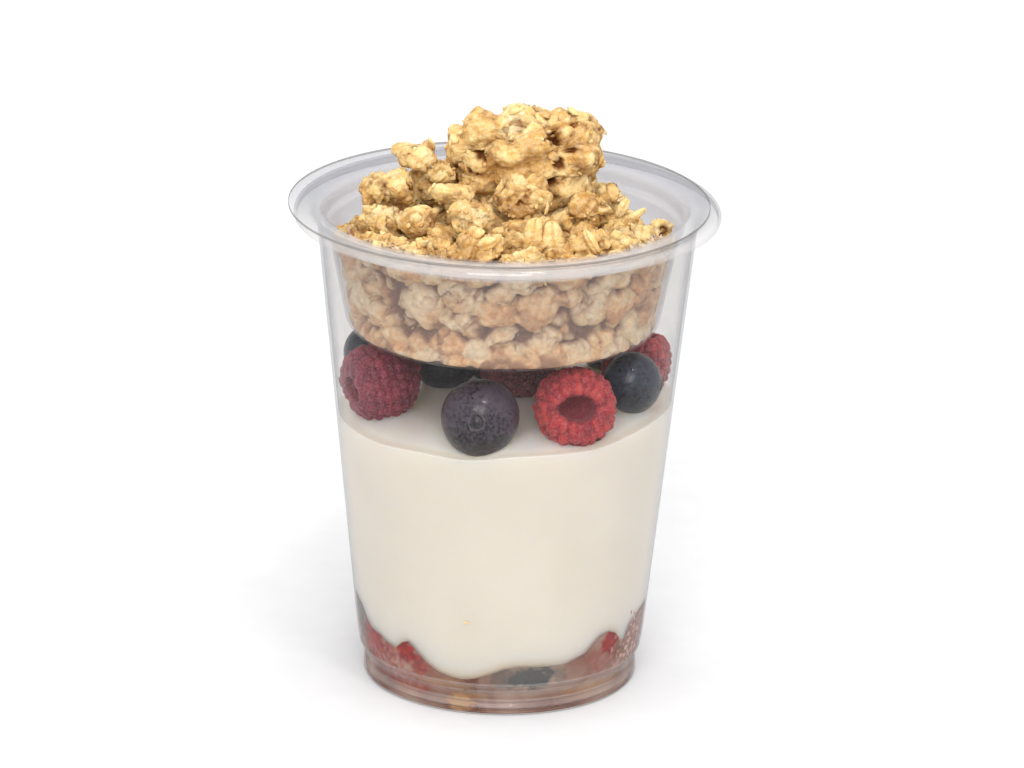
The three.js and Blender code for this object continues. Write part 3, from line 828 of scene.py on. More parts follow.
def blueberrySkin(at, size, faces, salt, keep=None):
    # A ball flattened along its axis. Round the crown the surface sinks to a small disc inside a thin
    # raised ring with blunt lobes: height += ring * (0.75 + 0.25 cos lobes v).
    rng = np.random.default_rng(salt)
    v = np.linspace(0, 2 * pi, blueberry["columns"], endpoint=False)
    u = np.concatenate([np.linspace(-pi / 2, 1.02, 40), np.arccos(np.linspace(0.5, 0, 34))])[:, None]
    r = np.cos(u) * np.ones_like(v)
    z = blueberry["flat"] * np.sin(u) * np.ones_like(v)
    lobes = 0.75 + 0.25 * np.cos(blueberry["lobes"] * v + rng.uniform(0, 6))
    wobble = 1 + 0.05 * np.sin(2 * v + rng.uniform(0, 6)) + 0.03 * np.sin(3 * v + rng.uniform(0, 6))
    crown = blueberry["crown"]
    ring = np.exp(-((r / wobble - crown) / blueberry["ringWidth"]) ** 2) * (z > 0)
    dip = smooth(-r / wobble, -crown, 0.06 - crown) * (z > 0)
    raised = blueberry["ringHeight"] * ring * lobes - blueberry["ringHeight"] * dip
    z = z + raised + 0.02 * np.exp(-(r / 0.05) ** 2) * (z > 0)
    uneven = 1 + 0.012 * np.sin(2 * v + rng.uniform(0, 6)) + 0.01 * np.sin(3 * v + 2 * u)
    grid = np.stack([r * np.cos(v) * uneven, r * np.sin(v) * uneven, z], -1) * size
    points = grid @ turnTo(faces).T + at
    return closedSkin(keep(points) if keep else points, {"crown": dip, "lip": ring * lobes})


def raspberryFinish(name, fresh, deep, hollowColour, seamShade=0.6):
    # Raspberry drupelets, grown: thin, soft skin over juice, with painted shade in the seams between them and
    # a velvet of hairs. Real hairs are 0.05 mm apart; they are drawn 0.45 mm apart so that they show.
    material, tree, where = newMaterial(name)
    tone, hollow, crease = [addNode(tree, "Attribute", attribute_name=mark, out="Fac")
                            for mark in ("tone", "hollow", "crease")]
    blotch = addNode(tree, "TexNoise", {"Vector": where, "Scale": 160, "Detail": 3})   # 6 mm
    part = addNode(tree, "Math", {0: blotch, 1: 0.8}, operation="MULTIPLY")
    amount = addNode(tree, "Math", {0: tone, 1: 0.32, 2: part}, operation="MULTIPLY_ADD")
    layer = addNode(tree, "ValToRGB", {0: amount},
                    [(0.15, fresh[0]), (0.95, deep), (0.5, fresh[1]), (0.72, fresh[2])])
    # Painted shade in the creases between drupelets.
    seam = addNode(tree, "Math", {0: crease, 1: seamShade}, operation="MULTIPLY")
    wet = addNode(tree, "MapRange", {0: tone, 1: 1.4, 2: 1.6, 3: 0, 4: 1})   # bruised drupelets
    hairs = addNode(tree, "TexNoise", {"Vector": where, "Scale": 2200, "Detail": 2})
    velvet = addNode(tree, "ValToRGB", {0: hairs}, [(0.46, "#000000"), (0.7, "#A8A8A8")])
    for share, colour in ((seam, srgb(fresh[2], 0.75)), (wet, srgb("#6E0A1C")), (hollow, srgb(hollowColour)),
                          (velvet, srgb("#CB8488"))):
        layer = addNode(tree, "Mix", {0: share, 6: layer, 7: colour}, **colourMix)
    bump = addNode(tree, "Bump", {"Height": hairs, "Strength": 0.5, "Distance": 0.0002})
    finishMaterial(tree, addNode(tree, "BsdfPrincipled", {
        "Base Color": layer, "Roughness": 0.5, "Specular IOR Level": 0.3, "Subsurface Weight": 0.25,
        "Subsurface Radius": (1, 0.25, 0.2), "Subsurface Scale": 0.0012, "Sheen Weight": 0.25,
        "Sheen Roughness": 0.5, "Sheen Tint": srgb("#E9B9B9"), "Normal": bump}))
    return material


def blueberryFinish(name, dark, bloom, lipColour):
    # Blueberry skin: nearly black under a dusty wax bloom that is rubbed off in patches of 9 mm and
    # specks of 0.8 mm, with a thin wet gloss over it.
    material, tree, where = newMaterial(name)
    crown, lip = [addNode(tree, "Attribute", attribute_name=mark, out="Fac") for mark in ("crown", "lip")]
    rubbed = addNode(tree, "TexNoise", {"Vector": where, "Scale": 110, "Detail": 3, "Roughness": 0.5})
    specks = addNode(tree, "TexNoise", {"Vector": where, "Scale": 1200, "Detail": 3, "Roughness": 0.8})
    patch = addNode(tree, "Math", {0: rubbed, 1: 0.6}, operation="MULTIPLY")
    dust = addNode(tree, "Math", {0: specks, 1: 1.2, 2: patch}, operation="MULTIPLY_ADD")
    layer = addNode(tree, "ValToRGB", {0: dust}, [(0.78, dark), (1.02, bloom)])
    shade = addNode(tree, "Math", {0: crown, 1: 0.4}, operation="MULTIPLY")
    for share, colour in ((shade, dark), (lip, lipColour)):
        layer = addNode(tree, "Mix", {0: share, 6: layer, 7: srgb(colour)}, **colourMix)
    rough = addNode(tree, "MapRange", {0: dust, 1: 0.65, 2: 1.1, 3: 0.2, 4: 0.45})
    bump, wetBump = [addNode(tree, "Bump", {"Height": specks, "Strength": strength, "Distance": 0.0003})
                     for strength in (0.7, 0.12)]
    finishMaterial(tree, addNode(tree, "BsdfPrincipled", {
        "Base Color": layer, "Roughness": rough, "IOR": 1.45, "Specular IOR Level": 0.15,
        "Coat Weight": 0.5, "Coat Roughness": 0.14, "Normal": bump, "Coat Normal": wetBump}))
    return material


freshRaspberry = raspberryFinish("freshRaspberry", ("#C34338", "#A82C32", "#861E2E"), "#4A0E1C", "#923844")
shaded = raspberryFinish("shadedRaspberry", ("#7E3238", "#6E2A32", "#5C202A"), "#3A1018", "#4A1A20")
# raspberry_left gets a darker, purpler copy with weaker seams: painted shade for the berry under the insert,
# and a painted veil of the plastic's haze.
shadedPlum = raspberryFinish("shadedPlumRaspberry", ("#8F2C43", "#782239", "#631A31"), "#401024", "#8A1830", 0.15)
rubbedBlueberry = blueberryFinish("rubbedBlueberry", "#0F0B11", "#493F4D", "#62565F")
bloomedBlueberry = blueberryFinish("bloomedBlueberry", "#080A10", "#2E3546", "#3A3F4B")
berryFinishes = {"raspberry_left": shadedPlum, "raspberry_middle": shaded, "blueberry_front": rubbedBlueberry}

for salt, (name, (at, size, faces)) in enumerate(berries.items(), 10):
    if name.startswith("raspberry"):
        skin = raspberrySkin(at, size, faces, salt, bruised=raspberry["bruised"].get(name, ()))
        makePiece(name + "_fruit", [skin], berryFinishes.get(name, freshRaspberry), [name])
    else:
        skin = blueberrySkin(at, size, faces, salt)
        makePiece(name + "_fruit", [skin], berryFinishes.get(name, bloomedBlueberry), [name])
makePiece("blueberryBetween", [blueberrySkin(*hiddenBlueberry, 9)], bloomedBlueberry)


def sunkAt(angle, height, size):
    # The centre of a fruit whose side is pressed a little flat at the wall.
    reach = insideRadius(height) - size * 0.86
    return np.array([reach * sin(radians(angle)), -reach * cos(radians(angle)), height])


skins = []
for salt, (angle, height, size) in enumerate(sunkRaspberries, 40):
    facing = (sin(radians(angle + 130)), -cos(radians(angle + 130)), -0.4)
    at = sunkAt(angle, height, size)
    skins.append(raspberrySkin(at, size, facing, salt, raspberry["sunkDetail"], pressed))
makePiece("sunkRaspberries", skins, freshRaspberry)
skins = [blueberrySkin(sunkAt(angle, height, size), size, (0.3, 0.5, 0.8), salt, pressed)
         for salt, (angle, height, size) in enumerate(sunkBlueberries, 60)]
makePiece("sunkBlueberries", skins, bloomedBlueberry)
print("berries done")


# Granola: clusters of oats and puffed grains, heaped in the insert.
granola = {
    # mm from one piece to the next, mm of relief, strength of the painted shade in the cracks between, share
    # of its tone
    "relief": [(5.4, 1.5, 0.12, 0.3), (2.3, 1.0, 0.1, 0.35), (1.1, 0.4, 0.1, 0.35)],
    "drift": [(4.4, 1.1), (1.8, 0.65)],   # mm from one dent to the next, mm the surface strays sideways
    "detail": 0.34,        # mm between the points of a cluster that shows
    "smallDetail": 0.5,    # and of one between them
    "press": 0.9,          # mm over which clusters flatten against the insert's wall
    "wallGap": 0.2,        # mm that they keep from it
    "level": 102.2,        # height of the heap at the back of the insert
    "moundHeight": 11.5,
    "moundRadius": 21,
    "frontRise": 5.8,      # how much higher it is at the front
    "smallPitch": 6.0,     # mm from one small cluster to the next
    "smallRing": 36.9,     # radius of the ring of small clusters along the wall
    "smallRingStep": 11,   # degrees from one of them to the next
    "ringDepth": 3.4,      # mm from the wall to the bottom of the gaps between its clusters
    "ringTop": 101.8,      # height of the clusters at the wall, at the back
    "ringRise": 7,         # how much higher they are at the front
    "ringColumns": 700,
    "coreColumns": 400,
    "core": {"floor": 86.2, "wallGap": 5.6, "topGap": 1.2, "topRadius": 34.4, "middle": 98, "relief": 1.3},
}

# The crest: its middle, its half sizes, and its lumps by centre and half sizes.
crestAt, crestHalf = (3, 4, 124.5), (18, 9, 11)
crestLumps = [
    ((-5.6, 2, 130.4), (4.8, 6, 4.4)), ((-11, 2, 126), (3.4, 5, 4.6)), ((-6.4, 0, 124), (5.4, 5.4, 4.6)),
    ((3.2, 3, 131), (6.4, 7, 4.2)), ((0.5, -2, 126), (5.6, 5, 3.4)), ((6.4, -1, 128), (5.4, 6, 4.4)),
    ((14.2, 3, 130), (7.2, 7.4, 5)), ((16.6, 0, 125), (5, 6.4, 5)), ((10, -2, 123), (5.6, 5, 4.4)),
    ((13.4, 0, 119.4), (6.4, 6.8, 6)), ((3, -1, 121), (6.4, 6, 4.4)), ((-6.6, 1, 119.6), (5.4, 5.6, 4.6)),
    ((5, 9, 124), (13, 5.4, 9)), ((-3.6, 8, 122), (8, 5.4, 8)), ((3, 4, 124.5), (10, 6, 7)),
]
# Holes in it: place, radius, depth.
crestPits = [((9.9, -4, 130.6), 2.1, 3), ((11.6, -5.6, 124.6), 1.5, 2.6), ((-6.6, -5, 126.6), 1.6, 2.2),
             ((15, -5, 128), 1.2, 1.4), ((9.4, -6.4, 120.6), 1.5, 2)]

# The other clusters: centre, half sizes, number of lumps, share of the full roughness.
shownClusters = [
    ((-30, -5, 117.6), (5.4, 5.8, 5.4), 8, 0.7), ((-24.6, -5, 118.6), (5.2, 5.6, 5.4), 8, 0.5),
    ((-28.6, -9, 112), (6.4, 5.8, 5.6), 9, 0.7), ((-20.4, -14, 113), (6.2, 5.8, 5.6), 8, 0.4),
    ((-24, 2, 113), (7, 7, 6), 9, 1), ((-18, 4, 113.4), (7.6, 6, 8), 9, 1),
    ((-21, 0, 124.2), (6.8, 5.8, 4.7), 6, 0.4), ((-15, 0, 119.4), (4.6, 5, 4.8), 7, 1),
    ((-11.8, -12, 119.2), (6.8, 5.4, 3.5), 8, 0.6), ((-8.6, -20, 115.8), (7.2, 6, 4.9), 12, 0.75),
    ((2.6, -14, 119.2), (7.9, 6.4, 6), 11, 0.6), ((-8.4, -27, 111.4), (5.8, 5, 4.8), 10, 1),
    ((-1.8, -27.6, 112.6), (3.2, 3.2, 3.2), 3, 1), ((4.2, -30, 109.6), (5.2, 4.4, 3.4), 9, 1),
    ((12.2, -29, 108.8), (5.4, 4.6, 3.9), 7, 1), ((19, -23, 110.8), (5.6, 4.8, 4.8), 9, 1),
    ((24.6, -19, 110.4), (5, 4.6, 4.2), 9, 1), ((19.4, -10, 115.4), (6.6, 5.8, 5.6), 10, 1),
]
fillingClusters = [
    ((25.4, -7, 112), (4.8, 4.8, 4.2), 9, 1), ((30.4, -12, 109.2), (5, 4.8, 3.8), 9, 1),
    ((35, -5, 109.6), (4, 4.2, 3.6), 7, 1), ((-27.6, -18, 108.6), (5.4, 5, 3.6), 8, 1),
    ((-21, -25.6, 108.8), (5.2, 4.6, 3.4), 8, 1), ((-15.6, -23, 110), (4.8, 4.6, 3.6), 8, 1),
    ((10, -1, 111.4), (7.4, 6, 5), 10, 1), ((-10, 4, 113), (9, 7, 7), 9, 1),
    ((0, 2, 113.6), (8, 8, 6.4), 9, 1), ((1, -20, 110.4), (6, 5, 4.2), 9, 1),
    ((9, -20, 111.4), (5.4, 5, 4.8), 9, 1), ((-8, -9, 113), (6, 6, 5), 9, 1),
]
backClusters = [
    ((-12, 15, 114.5), (9, 8.4, 7.4), 12, 1), ((7, 17.5, 113.4), (9.2, 8, 7), 12, 1),
    ((22, 8, 112), (7, 7, 5.6), 9, 1), ((-25, 14, 110), (7, 7, 5), 9, 1), ((0, 29, 108.6), (8, 6, 4.4), 9, 1),
]

# Clusters against the insert's wall: angle from -Y in degrees, height, half width, half height.
wallClusters = [
    (-58, 100.3, 4.4, 5.4), (-38, 105, 5.6, 2.8), (-31.2, 97.6, 5.6, 5.6), (-54, 92, 5.4, 3.2),
    (-15.4, 101.3, 5.6, 5), (-2.2, 97.6, 5.6, 3.6), (5.5, 105.5, 5, 2.8), (13, 98.4, 5.6, 5.4),
    (36, 97.8, 6, 5.2), (44.4, 103.6, 6, 2.9), (58.4, 90, 3.8, 3.6), (-47, 87.6, 4.8, 2.4),
    (-21.8, 88.4, 4.8, 3.4), (-9.9, 88, 4, 3), (-1, 90.8, 3.4, 3.2), (16, 90, 4.8, 3.8),
    (-10.8, 107.6, 5.4, 2.8), (24.1, 106.3, 5.2, 2.8), (30, 87, 4.4, 2.4), (-62, 106.6, 4.6, 3),
    (-17, 94.6, 5, 3.2), (25, 101.4, 4, 3.4), (49, 96, 4.4, 4.2), (60.5, 98, 4.6, 4.8),
    (42, 88.4, 4, 2.8), (58, 105, 5, 3), (5.5, 87, 4.2, 2.4), (-67, 94, 4.8, 4), (-72, 101, 4.6, 4.6),
    (71, 92, 4.8, 4.6), (72, 101, 4.8, 4.6), (-35, 86.8, 4.4, 2), (-1, 102.6, 3.6, 2.6), (-25, 105.8, 4, 2.4),
]

# Loose puffed grains, flakes and crumbs: number on each square mm of cluster, rows and columns of
# points, least and greatest half sizes, share sunk in, bend, seed.
looseKinds = [
    (0.0042, 7, 8, ((1.3, 0.8, 0.7), (2.6, 1.3, 1.1)), 0.3, 0.06, 31),
    (0.0098, 5, 10, ((1.5, 1.1, 0.28), (2.6, 1.9, 0.5)), 0.34, 0.1, 32),
    (0.04, 5, 6, ((0.3, 0.3, 0.25), (0.9, 0.7, 0.6)), 0.3, 0.0, 33),
]

# Large puffed grains: centre, half sizes, lean to the right in degrees.
bigGrains = [
    ((5.8, -23, 113), (2.2, 2, 4.8), 8), ((10.5, -23.6, 112.2), (2.4, 2.1, 4.8), -6),
    ((29, -7.6, 113.4), (1, 1, 3), 55), ((26, -9.4, 115.6), (1.1, 1, 2.6), 30),
    ((19, -26.6, 113), (1.2, 1.1, 3.2), -30), ((-4.6, -30.6, 113.4), (1.5, 1.2, 2.2), 70),
]


def inInsert(points, depth):
    # Keeps granola in the insert. Towards the wall the radius runs out smoothly at its inner face less
    # depth: r' = limit - press * exp(-(r - limit + press) / press), and height does so at its floor.
    press = granola["press"]
    x = points[..., 0] - insertCup["offset"]
    radius = np.hypot(x, points[..., 1])
    belowRim = points[..., 2] < insertCup["seat"] + 0.2
    limit = np.where(belowRim, insertRadius(points[..., 2]) - depth, 99)   # free above the flange
    past = np.maximum(radius - limit + press, 0)
    share = np.where(past > 0, (limit - press * np.exp(-past / press)) / np.maximum(radius, 1e-6), 1)
    ground = insertCup["floor"] + 0.75 + depth * 0.4
    under = np.maximum(ground + 0.7 - points[..., 2], 0)
    height = np.where(under > 0, ground + 0.7 * np.exp(-under / 0.7), points[..., 2])
    return np.stack([x * share + insertCup["offset"], points[..., 1] * share, height], -1)


def crumbled(points, salt):
    # Broken flakes and crumbs at three scales. Each cell is a plane, tilted and raised at random:
    # lift = relief * (level + 1.3 tilt . step - 0.3 step^2 + 0.1). Gives the lift, the drift by which
    # the cells and the surface stray, the painted shade of the cracks and hollows, and a tone for each cell.
    drift = sum(size * np.stack([softNoise(points, pitch, salt + k) for k in (21, 22, 23)], -1)
                for pitch, size in granola["drift"])
    lift, crackShade, tone = 0, 0, 0
    for k, (pitch, relief, dark, share) in enumerate(granola["relief"]):
        step, border, cell = pebbles(points + 0.3 * drift, pitch, salt + 10 * k)
        level = 0.7 * (chance(cell, salt + 4) - 0.5)
        tilt = np.stack([chance(cell, salt + n) for n in (5, 6, 7)], -1) - 0.5
        lift = lift + relief * (level + 1.3 * (tilt * step).sum(-1) - 0.3 * (step ** 2).sum(-1) + 0.1)
        crackShade = crackShade + dark * smooth(-border, -0.3, 0)
        tone = tone + share * chance(cell, salt + 8)
    return lift, drift, crackShade + 0.75 * smooth(-lift, 0, 1.4), tone


def lumpedGrid(at, half, centre, squash, spacing, salt, rough, pits=()):
    # A cluster of stuck lumps, each an ellipsoid |M (p - c)| = 1 in shares of half. In each direction
    # from the middle the skin lies at the far side of the furthest lump, blended with the second by
    # log(1 + e^-45d) / 45, with painted shade in the seam between them. Flakes and crumbs stand out of it
    # by their lift times rough. Pits are balls taken out, with ragged edges and painted shade in them.
    rng = np.random.default_rng(salt)
    half = np.array(half, float)
    rows = int(pi * (half[0] * half[1] * half[2]) ** (1 / 3) / spacing)
    d = ballGrid(rows, int(1.8 * rows))
    reach = lumpReach(0 * d, d, centre, squash)
    second, first = np.moveaxis(np.partition(reach, -2, axis=-1)[..., -2:], -1, 0)
    skin = first + np.log1p(np.exp(-45 * (first - second))) / 45
    seam = smooth(second - first, -0.07, 0)
    points = d * skin[..., None] * half + at
    lift, drift, crackShade, grain = crumbled(points + 60, salt % 7)
    lift, drift = lift * rough, drift * rough
    for place, radius, deep in pits:
        away = np.linalg.norm(points + drift - place, axis=-1) / radius
        away = away + 0.6 * softNoise(points, 0.9, 3) + 0.5 * softNoise(points, 1.9, 4)
        hole = smooth(-away, -1.1, -0.5)
        lift, crackShade = lift - deep * hole, crackShade + 1.1 * hole
    points = points + drift + unit(d / half) * lift[..., None]
    lumpTone = rng.uniform(0, 1, len(centre))[np.argmax(reach, -1)]
    tone = rng.uniform(-0.2, 0.1) + 0.35 * lumpTone + 0.7 * grain
    return joinPoles(inInsert(points, granola["wallGap"])), {"tone": tone, "crackShade": crackShade + 0.3 * seam}


def clusterGrid(at, half, lumps, rough, spacing, salt):
    # A cluster with lumps of random place, size and lean round a larger one in the middle.
    rng = np.random.default_rng(salt)
    centre = unit(rng.normal(size=(lumps, 3))) * rng.uniform(0.25, 0.6, (lumps, 1))
    longest = rng.uniform(0.34, 0.56, (lumps, 1))
    middling, shortest = rng.uniform(0.6, 0.95, lumps), rng.uniform(0.45, 0.8, lumps)
    axes = longest * np.stack([np.ones(lumps), middling, shortest], 1)
    axes[0], centre[0] = 0.62, 0
    lean = turnsAlong(rng.normal(size=(lumps, 3)), rng.uniform(0, 2 * pi, lumps))
    return lumpedGrid(at, half, centre, np.swapaxes(lean, 1, 2) / axes[:, :, None], spacing, salt, rough)


def makeClusters(name, clusters, spacing, salt):
    # One piece of clusters. Gives the grids and middles that loose grains are set on.
    grids = [clusterGrid(*cluster, spacing, salt + i) for i, cluster in enumerate(clusters)]
    makePiece(name, [closedSkin(*g) for g in grids], oats)
    return [(g, np.array(cluster[0])) for (g, _), cluster in zip(grids, clusters)]


def bakedOats(name, shades, dust, crackShadeColour, pitShadeColour):
    # Rolled oats and puffed grains baked with honey: dry, rough and pale gold. Painted shade darkens the
    # cracks to brown, and the pits further.
    # Toasting varies over 8 mm, flour dust over 1.2 mm and bran over 0.8 mm.
    material, tree, where = newMaterial(name)
    tone, crackShade = [addNode(tree, "Attribute", attribute_name=mark, out="Fac") for mark in ("tone", "crackShade")]
    toast, flour, bran = [
        addNode(tree, "TexNoise", {"Vector": where, "Scale": scale, "Detail": detail, "Roughness": rough})
        for scale, detail, rough in ((130, 4, 0.6), (800, 3, 0.6), (1300, 3, 0.7))]
    amount = addNode(tree, "Math", {0: tone, 1: 0.7, 2: toast}, operation="MULTIPLY_ADD")
    layer = addNode(tree, "ValToRGB", {0: amount},
                    [(0.5, shades[0]), (1.05, shades[3]), (0.68, shades[1]), (0.88, shades[2])])
    flourTone = addNode(tree, "ValToRGB", {0: flour}, [(0.42, dust[0]), (0.62, dust[1])])
    pitShade = addNode(tree, "MapRange", {0: crackShade, 1: 0.9, 2: 1.8, 3: 0, 4: 1})
    for share, colour in ((0.35, flourTone), (crackShade, srgb(crackShadeColour)), (pitShade, srgb(pitShadeColour))):
        layer = addNode(tree, "Mix", {0: share, 6: layer, 7: colour}, **colourMix)
    bump = addNode(tree, "Bump", {"Height": bran, "Strength": 1, "Distance": 0.0008})
    finishMaterial(tree, addNode(tree, "BsdfPrincipled", {
        "Base Color": layer, "Roughness": 0.68, "IOR": 1.45, "Specular IOR Level": 0.3,
        "Subsurface Weight": 0.1, "Subsurface Radius": (1, 0.7, 0.35), "Subsurface Scale": 0.001,
        "Normal": bump}))
    return material


# Dry on top of the heap; the last two colours of each are the painted shade of cracks and pits.
# The clusters at the insert's wall get a paler, pinker copy: painted light that makes up for the light that
# the plastic takes, with a painted veil of its haze.
oats = bakedOats("bakedOatClusters", ("#FFEBBA", "#FCDE9A", "#F4CA7E", "#CE9A50"), ("#DEB06A", "#FBEAC4"),
                 "#784412", "#3A200E")
wallOatsPaintedLight = bakedOats("wallOatClustersPaintedLight", ("#FFEFCE", "#FFDFAC", "#F5BF86", "#CC9058"),
                     ("#E6AE7A", "#FFEBC8"), "#94664A", "#745646")


def fillLevel(x, y):
    # The heap between the clusters: a mound in the middle, lowest towards +Y.
    mound = granola["moundHeight"] * np.exp(-(x * x + y * y) / granola["moundRadius"] ** 2)
    front = granola["frontRise"] * smooth(-y, -12, 24)
    return granola["level"] + mound + front


def heapCore():
    # What lies behind the clusters: floor, wall and top of the heap, a little smaller than it, with the
    # same flakes and crumbs standing out of it: p + relief * lift away from its middle.
    v = np.linspace(0, 2 * pi, granola["coreColumns"], endpoint=False)
    c, s = np.cos(v), np.sin(v)
    core = granola["core"]
    share = np.linspace(0, 1, 24)[:, None]
    lowRadius = insertRadius(core["floor"] + 0.3) - core["wallGap"] - 0.4
    low = np.stack([share * lowRadius * c, share * lowRadius * s, core["floor"] + 0 * share * c], -1)
    share = np.linspace(1, 0, 110)[1:, None]
    x, y = share * core["topRadius"] * c, share * core["topRadius"] * s
    top = np.stack([x, y, fillLevel(x, y) - core["topGap"]], -1)
    height = 86.8 + (top[0, :, 2] - 87) * np.linspace(0, 1, 36)[:, None]
    radius = insertRadius(height) - core["wallGap"]
    points = np.concatenate([low, np.stack([radius * c, radius * s, height], -1), top])
    lift, _, crackShade, grain = crumbled(points + 60, 5)
    away = points - [0, 0, core["middle"]]
    away /= np.maximum(np.linalg.norm(away, axis=-1, keepdims=True), 1)
    points = joinPoles(points + away * (core["relief"] * lift)[..., None] + [insertCup["offset"], 0, 0])
    # The core gets painted shade all over, 0.3, and more in its cracks and hollows.
    marks = {"tone": 0.3 + 0.6 * grain, "crackShade": 0.3 + 0.9 * crackShade}
    return closedSkin(inInsert(points, granola["wallGap"]), marks)


def smallPlaces(rng):
    # Small clusters fill the top of the heap in a ragged grid, and lie in a ring on those at the wall.
    steps = np.arange(-36, 37, granola["smallPitch"])
    places = []
    for column, row in [(column, row) for column in steps for row in steps]:
        x, y = column + rng.uniform(-2.6, 2.6), row + rng.uniform(-2.6, 2.6)
        wide, high = rng.uniform(2.8, 5.6), rng.uniform(2.2, 3.6)
        if np.hypot(x, y) < 39 - wide:
            at = (x, y, fillLevel(x, y) + rng.uniform(-1.4, 0.8))
            places.append((at, (wide, wide * 0.8, high), 6, 1))
    for angle in np.arange(0, 360, granola["smallRingStep"]):
        turn = radians(angle + rng.uniform(-3, 3))
        x, y = granola["smallRing"] * sin(turn), -granola["smallRing"] * cos(turn)
        wide = rng.uniform(2.6, 3.8)
        at = (x + insertCup["offset"], y, fillLevel(x, y) + rng.uniform(-0.8, 0.9))
        places.append((at, (wide, wide, rng.uniform(2, 2.8)), 6, 1))
    return places


def ringPlaces(rng):
    # The clusters against the wall, with a layer: the listed ones, more round the back, those in the
    # corner and on the floor, and in layer 1 those that show in the gaps.
    pick = rng.uniform
    places = [(*cluster, 0) for cluster in wallClusters]
    for k, height in enumerate((87, 92.4, 97.8, 103.2, 107.6)):
        for middle in np.arange(79 + 5 * (k % 2), 281, 11.5):
            places.append((middle + pick(-3, 3), height + pick(-1, 1),
                           pick(3.8, 5.8), pick(2.6, 4.4), 0))
    for middle in np.arange(-180, 180, 9):
        places.append((middle + pick(-3, 3), 85 + pick(-0.6, 0.6), pick(3, 4.6), 3.4, 0))
        places.append((middle + pick(-3, 3), 80 + pick(-1, 1), 4, 3, 0))
    for height in np.arange(85, 108, 3.6):
        for middle in np.arange(-180, 180, 8):
            places.append((middle + pick(-4, 4), height + pick(-1.4, 1.4),
                           pick(2.2, 3.4), pick(1.8, 2.8), 1))
    return places


def wallRing():
    # The clusters that lie against the insert's wall and floor: a ring whose outer face follows the
    # insert's inner line p(s) at a depth. Over a cluster the depth is ring * (1 - sqrt(1 - e)), where e
    # is ((s - s0) / high)^2 + (arc / wide)^2; between clusters it is the depth of the gaps.
    rng = np.random.default_rng(23)
    deep = granola["ringDepth"]
    line = insertInside[(insertInside[:, 1] < 109) & (insertInside[:, 0] > 24)]
    length = lengthAlong(line)
    length += 109 - length[-1]   # so that it is nearly the height along the wall
    v = np.linspace(0, 2 * pi, granola["ringColumns"], endpoint=False)
    angle = (np.degrees(v) + 90 + 180) % 360 - 180
    top = granola["ringTop"] + granola["ringRise"] * smooth(-np.abs(angle), -98, -66)
    share = np.linspace(0, 1, int((length[-1] - length[0]) / granola["detail"]))[:, None]
    s = length[0] + (top - length[0]) * share

    def along(points):
        # The line turned about Z, read at the lengths s.
        r, z = readLine(s, length, points)
        return np.stack([r * np.cos(v), r * np.sin(v), z], -1)

    base = along(line)
    inward = along(offsetLine(line, 1)) - base
    wander = [softNoise(base, 3.6, salt) * size for salt, size in ((51, 1.5), (52, 1.3))]
    depth = np.full(base.shape[:2], 9.0)
    tone = np.zeros(base.shape[:2])
    for middle, height, wide, high, layer in ringPlaces(rng):
        arc = ((angle - middle + 180) % 360 - 180) * radians(37) + wander[0]
        rise = s - height + wander[1]
        e = (arc / (wide * 1.08)) ** 2 + (rise / (high * 1.08)) ** 2
        here = deep * (1 - np.sqrt(np.maximum(1 - e, 0))) + 0.6 * np.maximum(e - 1, 0)
        here = here + rng.uniform(0, 0.5) + 1.9 * layer
        # A cluster's tone falls with height over its middle: painted light, paler on top and browner below.
        tone = np.where(here < depth, rng.uniform(-0.35, 0.4) - 0.05 * rise, tone)
        depth = np.minimum(depth, here)
    depth = np.minimum(depth, deep + 0.4)
    # Crumbs fill the corner at the floor but for a few gaps, and the clusters are flat at the wall.
    corner = smooth(-base[..., 2], -87.4, -85.4) * smooth(softNoise(base, 3.6, 57), -0.55, 0.05)
    depth = depth * (1 - 0.8 * corner)
    lift, _, crackShade, grain = crumbled(base + 60, 3)
    under = depth + 0.4 - 0.8 * lift * smooth(depth, 0.1, 1.2)
    under = 0.15 + np.log1p(np.exp(4 * (under - 0.15))) / 4
    under = under * (1 - 0.8 * corner) - 0.2 * corner
    # Painted shade darkens the gaps, those of the corner, and a little the top edge.
    gap = smooth(depth, 0.4 * deep, 1.05 * deep) * smooth(top - s, 0.4, 2.4)
    cornerGap = smooth(-base[..., 2], -88.8, -86.6) * smooth(-softNoise(base, 3.4, 57), 0.1, 0.5)
    crackShade = np.maximum.reduce([crackShade, 0.9 * cornerGap, 0.3 * smooth(s - top, -1.2, -0.2), 1.3 * gap])
    skin = base + inward * under[..., None]
    back = (base + inward * (deep + 1.6) * smooth(-share, -1.05, -0.97)[..., None])[::-8] + [0, 0, -0.6]
    marks = {"tone": tone - 0.1 + 0.7 * grain, "crackShade": crackShade}
    # The back face gets a tone of 0.3 and painted shade of 0.3.
    marks = {k: np.concatenate([m, 0.3 + 0 * m[::-8]]) for k, m in marks.items()}
    return closedSkin(np.concatenate([skin, back]) + [insertCup["offset"], 0, 0], marks, ring=True)


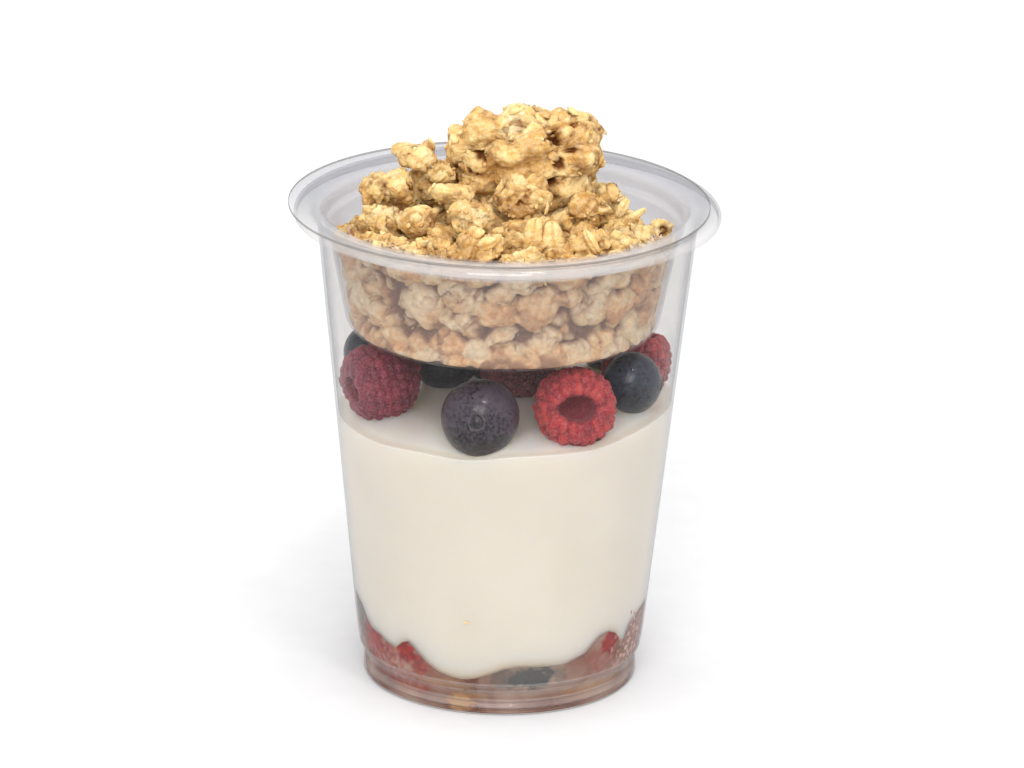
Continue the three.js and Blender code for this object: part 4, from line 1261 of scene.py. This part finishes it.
def scattered(grids, perArea, rows, columns, halfSizes, sunk, bend, salt):
    # Loose grains: balls stretched to random half sizes, bent down along their length (z -= bend x^2),
    # laid on random spots of the clusters with their thin side outwards and partly sunk in.
    rng = np.random.default_rng(salt)
    spots, out = [], []
    for grid, at in grids:
        size = np.linalg.norm(grid - at, axis=-1).mean()
        count = int(perArea * 4 * pi * size ** 2)
        row = ((np.arcsin(rng.uniform(-0.75, 0.98, count)) / pi + 0.5) * (grid.shape[0] - 1)).astype(int)
        spot = grid[row, rng.integers(0, grid.shape[1], count)]
        spots.append(spot)
        out.append(spot - at)
    spots, out = np.concatenate(spots), np.concatenate(out)
    count = len(spots)
    out = unit(out) + rng.normal(0, 0.2, (count, 3))
    half = rng.uniform(*np.array(halfSizes), (count, 3))
    ball = ballGrid(rows, columns) * half[:, None, None]
    ball[..., 2] -= bend * ball[..., 0] ** 2
    apart = np.arange(count)[:, None, None, None] * 7.3   # gives each grain its own noise
    ball = ball * (1 + 0.16 * softNoise(ball + apart, 1.1, salt)[..., None])
    points = np.einsum("nij,nrcj->nrci", turnsAlong(out, rng.uniform(0, 2 * pi, count)), ball)
    points = points + (spots + unit(out) * half[:, 2:] * (1 - 2 * sunk))[:, None, None]
    return closedSkin(inInsert(points, 0.25), {"tone": rng.uniform(0.35, 1, (count, 1, 1)), "crackShade": 0.0})


def bigGrain(at, half, lean):
    # A ball stretched to half sizes with a shallow seam along its front, leaned over. The seam is painted
    # darker and browner, as shade.
    ball = ballGrid(22, 30)
    seam = np.exp(-(ball[..., 0] / 0.12) ** 2) * (ball[..., 1] < 0)
    grain = ball * np.array(half) * (1 - 0.1 * seam + 0.14 * softNoise(ball * half + at, 1.9, 2))[..., None]
    c, s = cos(radians(lean)), sin(radians(lean))
    points = grain @ np.array([[c, 0, -s], [0, 1, 0], [s, 0, c]]) + at
    return closedSkin(inInsert(points, 0.3), {"tone": 0.4 + 0.3 * seam, "crackShade": 0.35 * seam})


def speck(angle, height, half):
    # A flattened ball, r = half (1 + 0.25 noise), on the yogurt's face at the wall.
    ball = ballGrid(7, 10) * half
    ball = ball * (1 + 0.25 * softNoise(ball + angle, 0.7, 3)[..., None])
    turn = radians(angle)
    out = np.array([sin(turn), -cos(turn), 0])
    axes = np.array([[cos(turn), sin(turn), 0], out, [0, 0, 1]])
    return closedSkin(ball @ axes + out * (insideRadius(height) + 0.05) + [0, 0, height])


makePiece("granolaCore", [heapCore()], oats, ["granola_heap"])
crestCentre = (np.array([c for c, _ in crestLumps]) - crestAt) / crestHalf
crestSquash = np.array([np.diag(np.divide(crestHalf, h)) for _, h in crestLumps])
crest, marks = lumpedGrid(crestAt, crestHalf, crestCentre, crestSquash, 0.3, 100, 0.6, crestPits)
makePiece("granolaCrest", [closedSkin(crest, marks)], oats)
grids = [(crest, np.array(crestAt))]
grids += makeClusters("granolaClusters", shownClusters, granola["detail"], 130)
grids += makeClusters("granolaFillings", fillingClusters, granola["detail"], 130 + len(shownClusters))
grids += makeClusters("granolaBehind", backClusters, granola["detail"], 160)
grids += makeClusters("granolaBetween", smallPlaces(np.random.default_rng(17)), granola["smallDetail"], 400)
makePiece("granolaAtWall", [wallRing()], wallOatsPaintedLight)
puffed, flakes, crumbs = [scattered(grids, *kind) for kind in looseKinds]
makePiece("granolaGrains", [puffed, flakes], oats)
makePiece("granolaBigGrains", [bigGrain(*g) for g in bigGrains], oats)
makePiece("granolaCrumbs", [crumbs], oats)
makePiece("oatCrumbAtWall", [speck(-13.2, 23.6, (1.1, 0.3, 0.42))], oats)
makePiece("pulpSpecksAtWall", [speck(62.8, 20, (0.35, 0.3, 0.9)), speck(66, 19.2, (0.25, 0.3, 0.5))],
          freshRaspberry)
print("granola done")
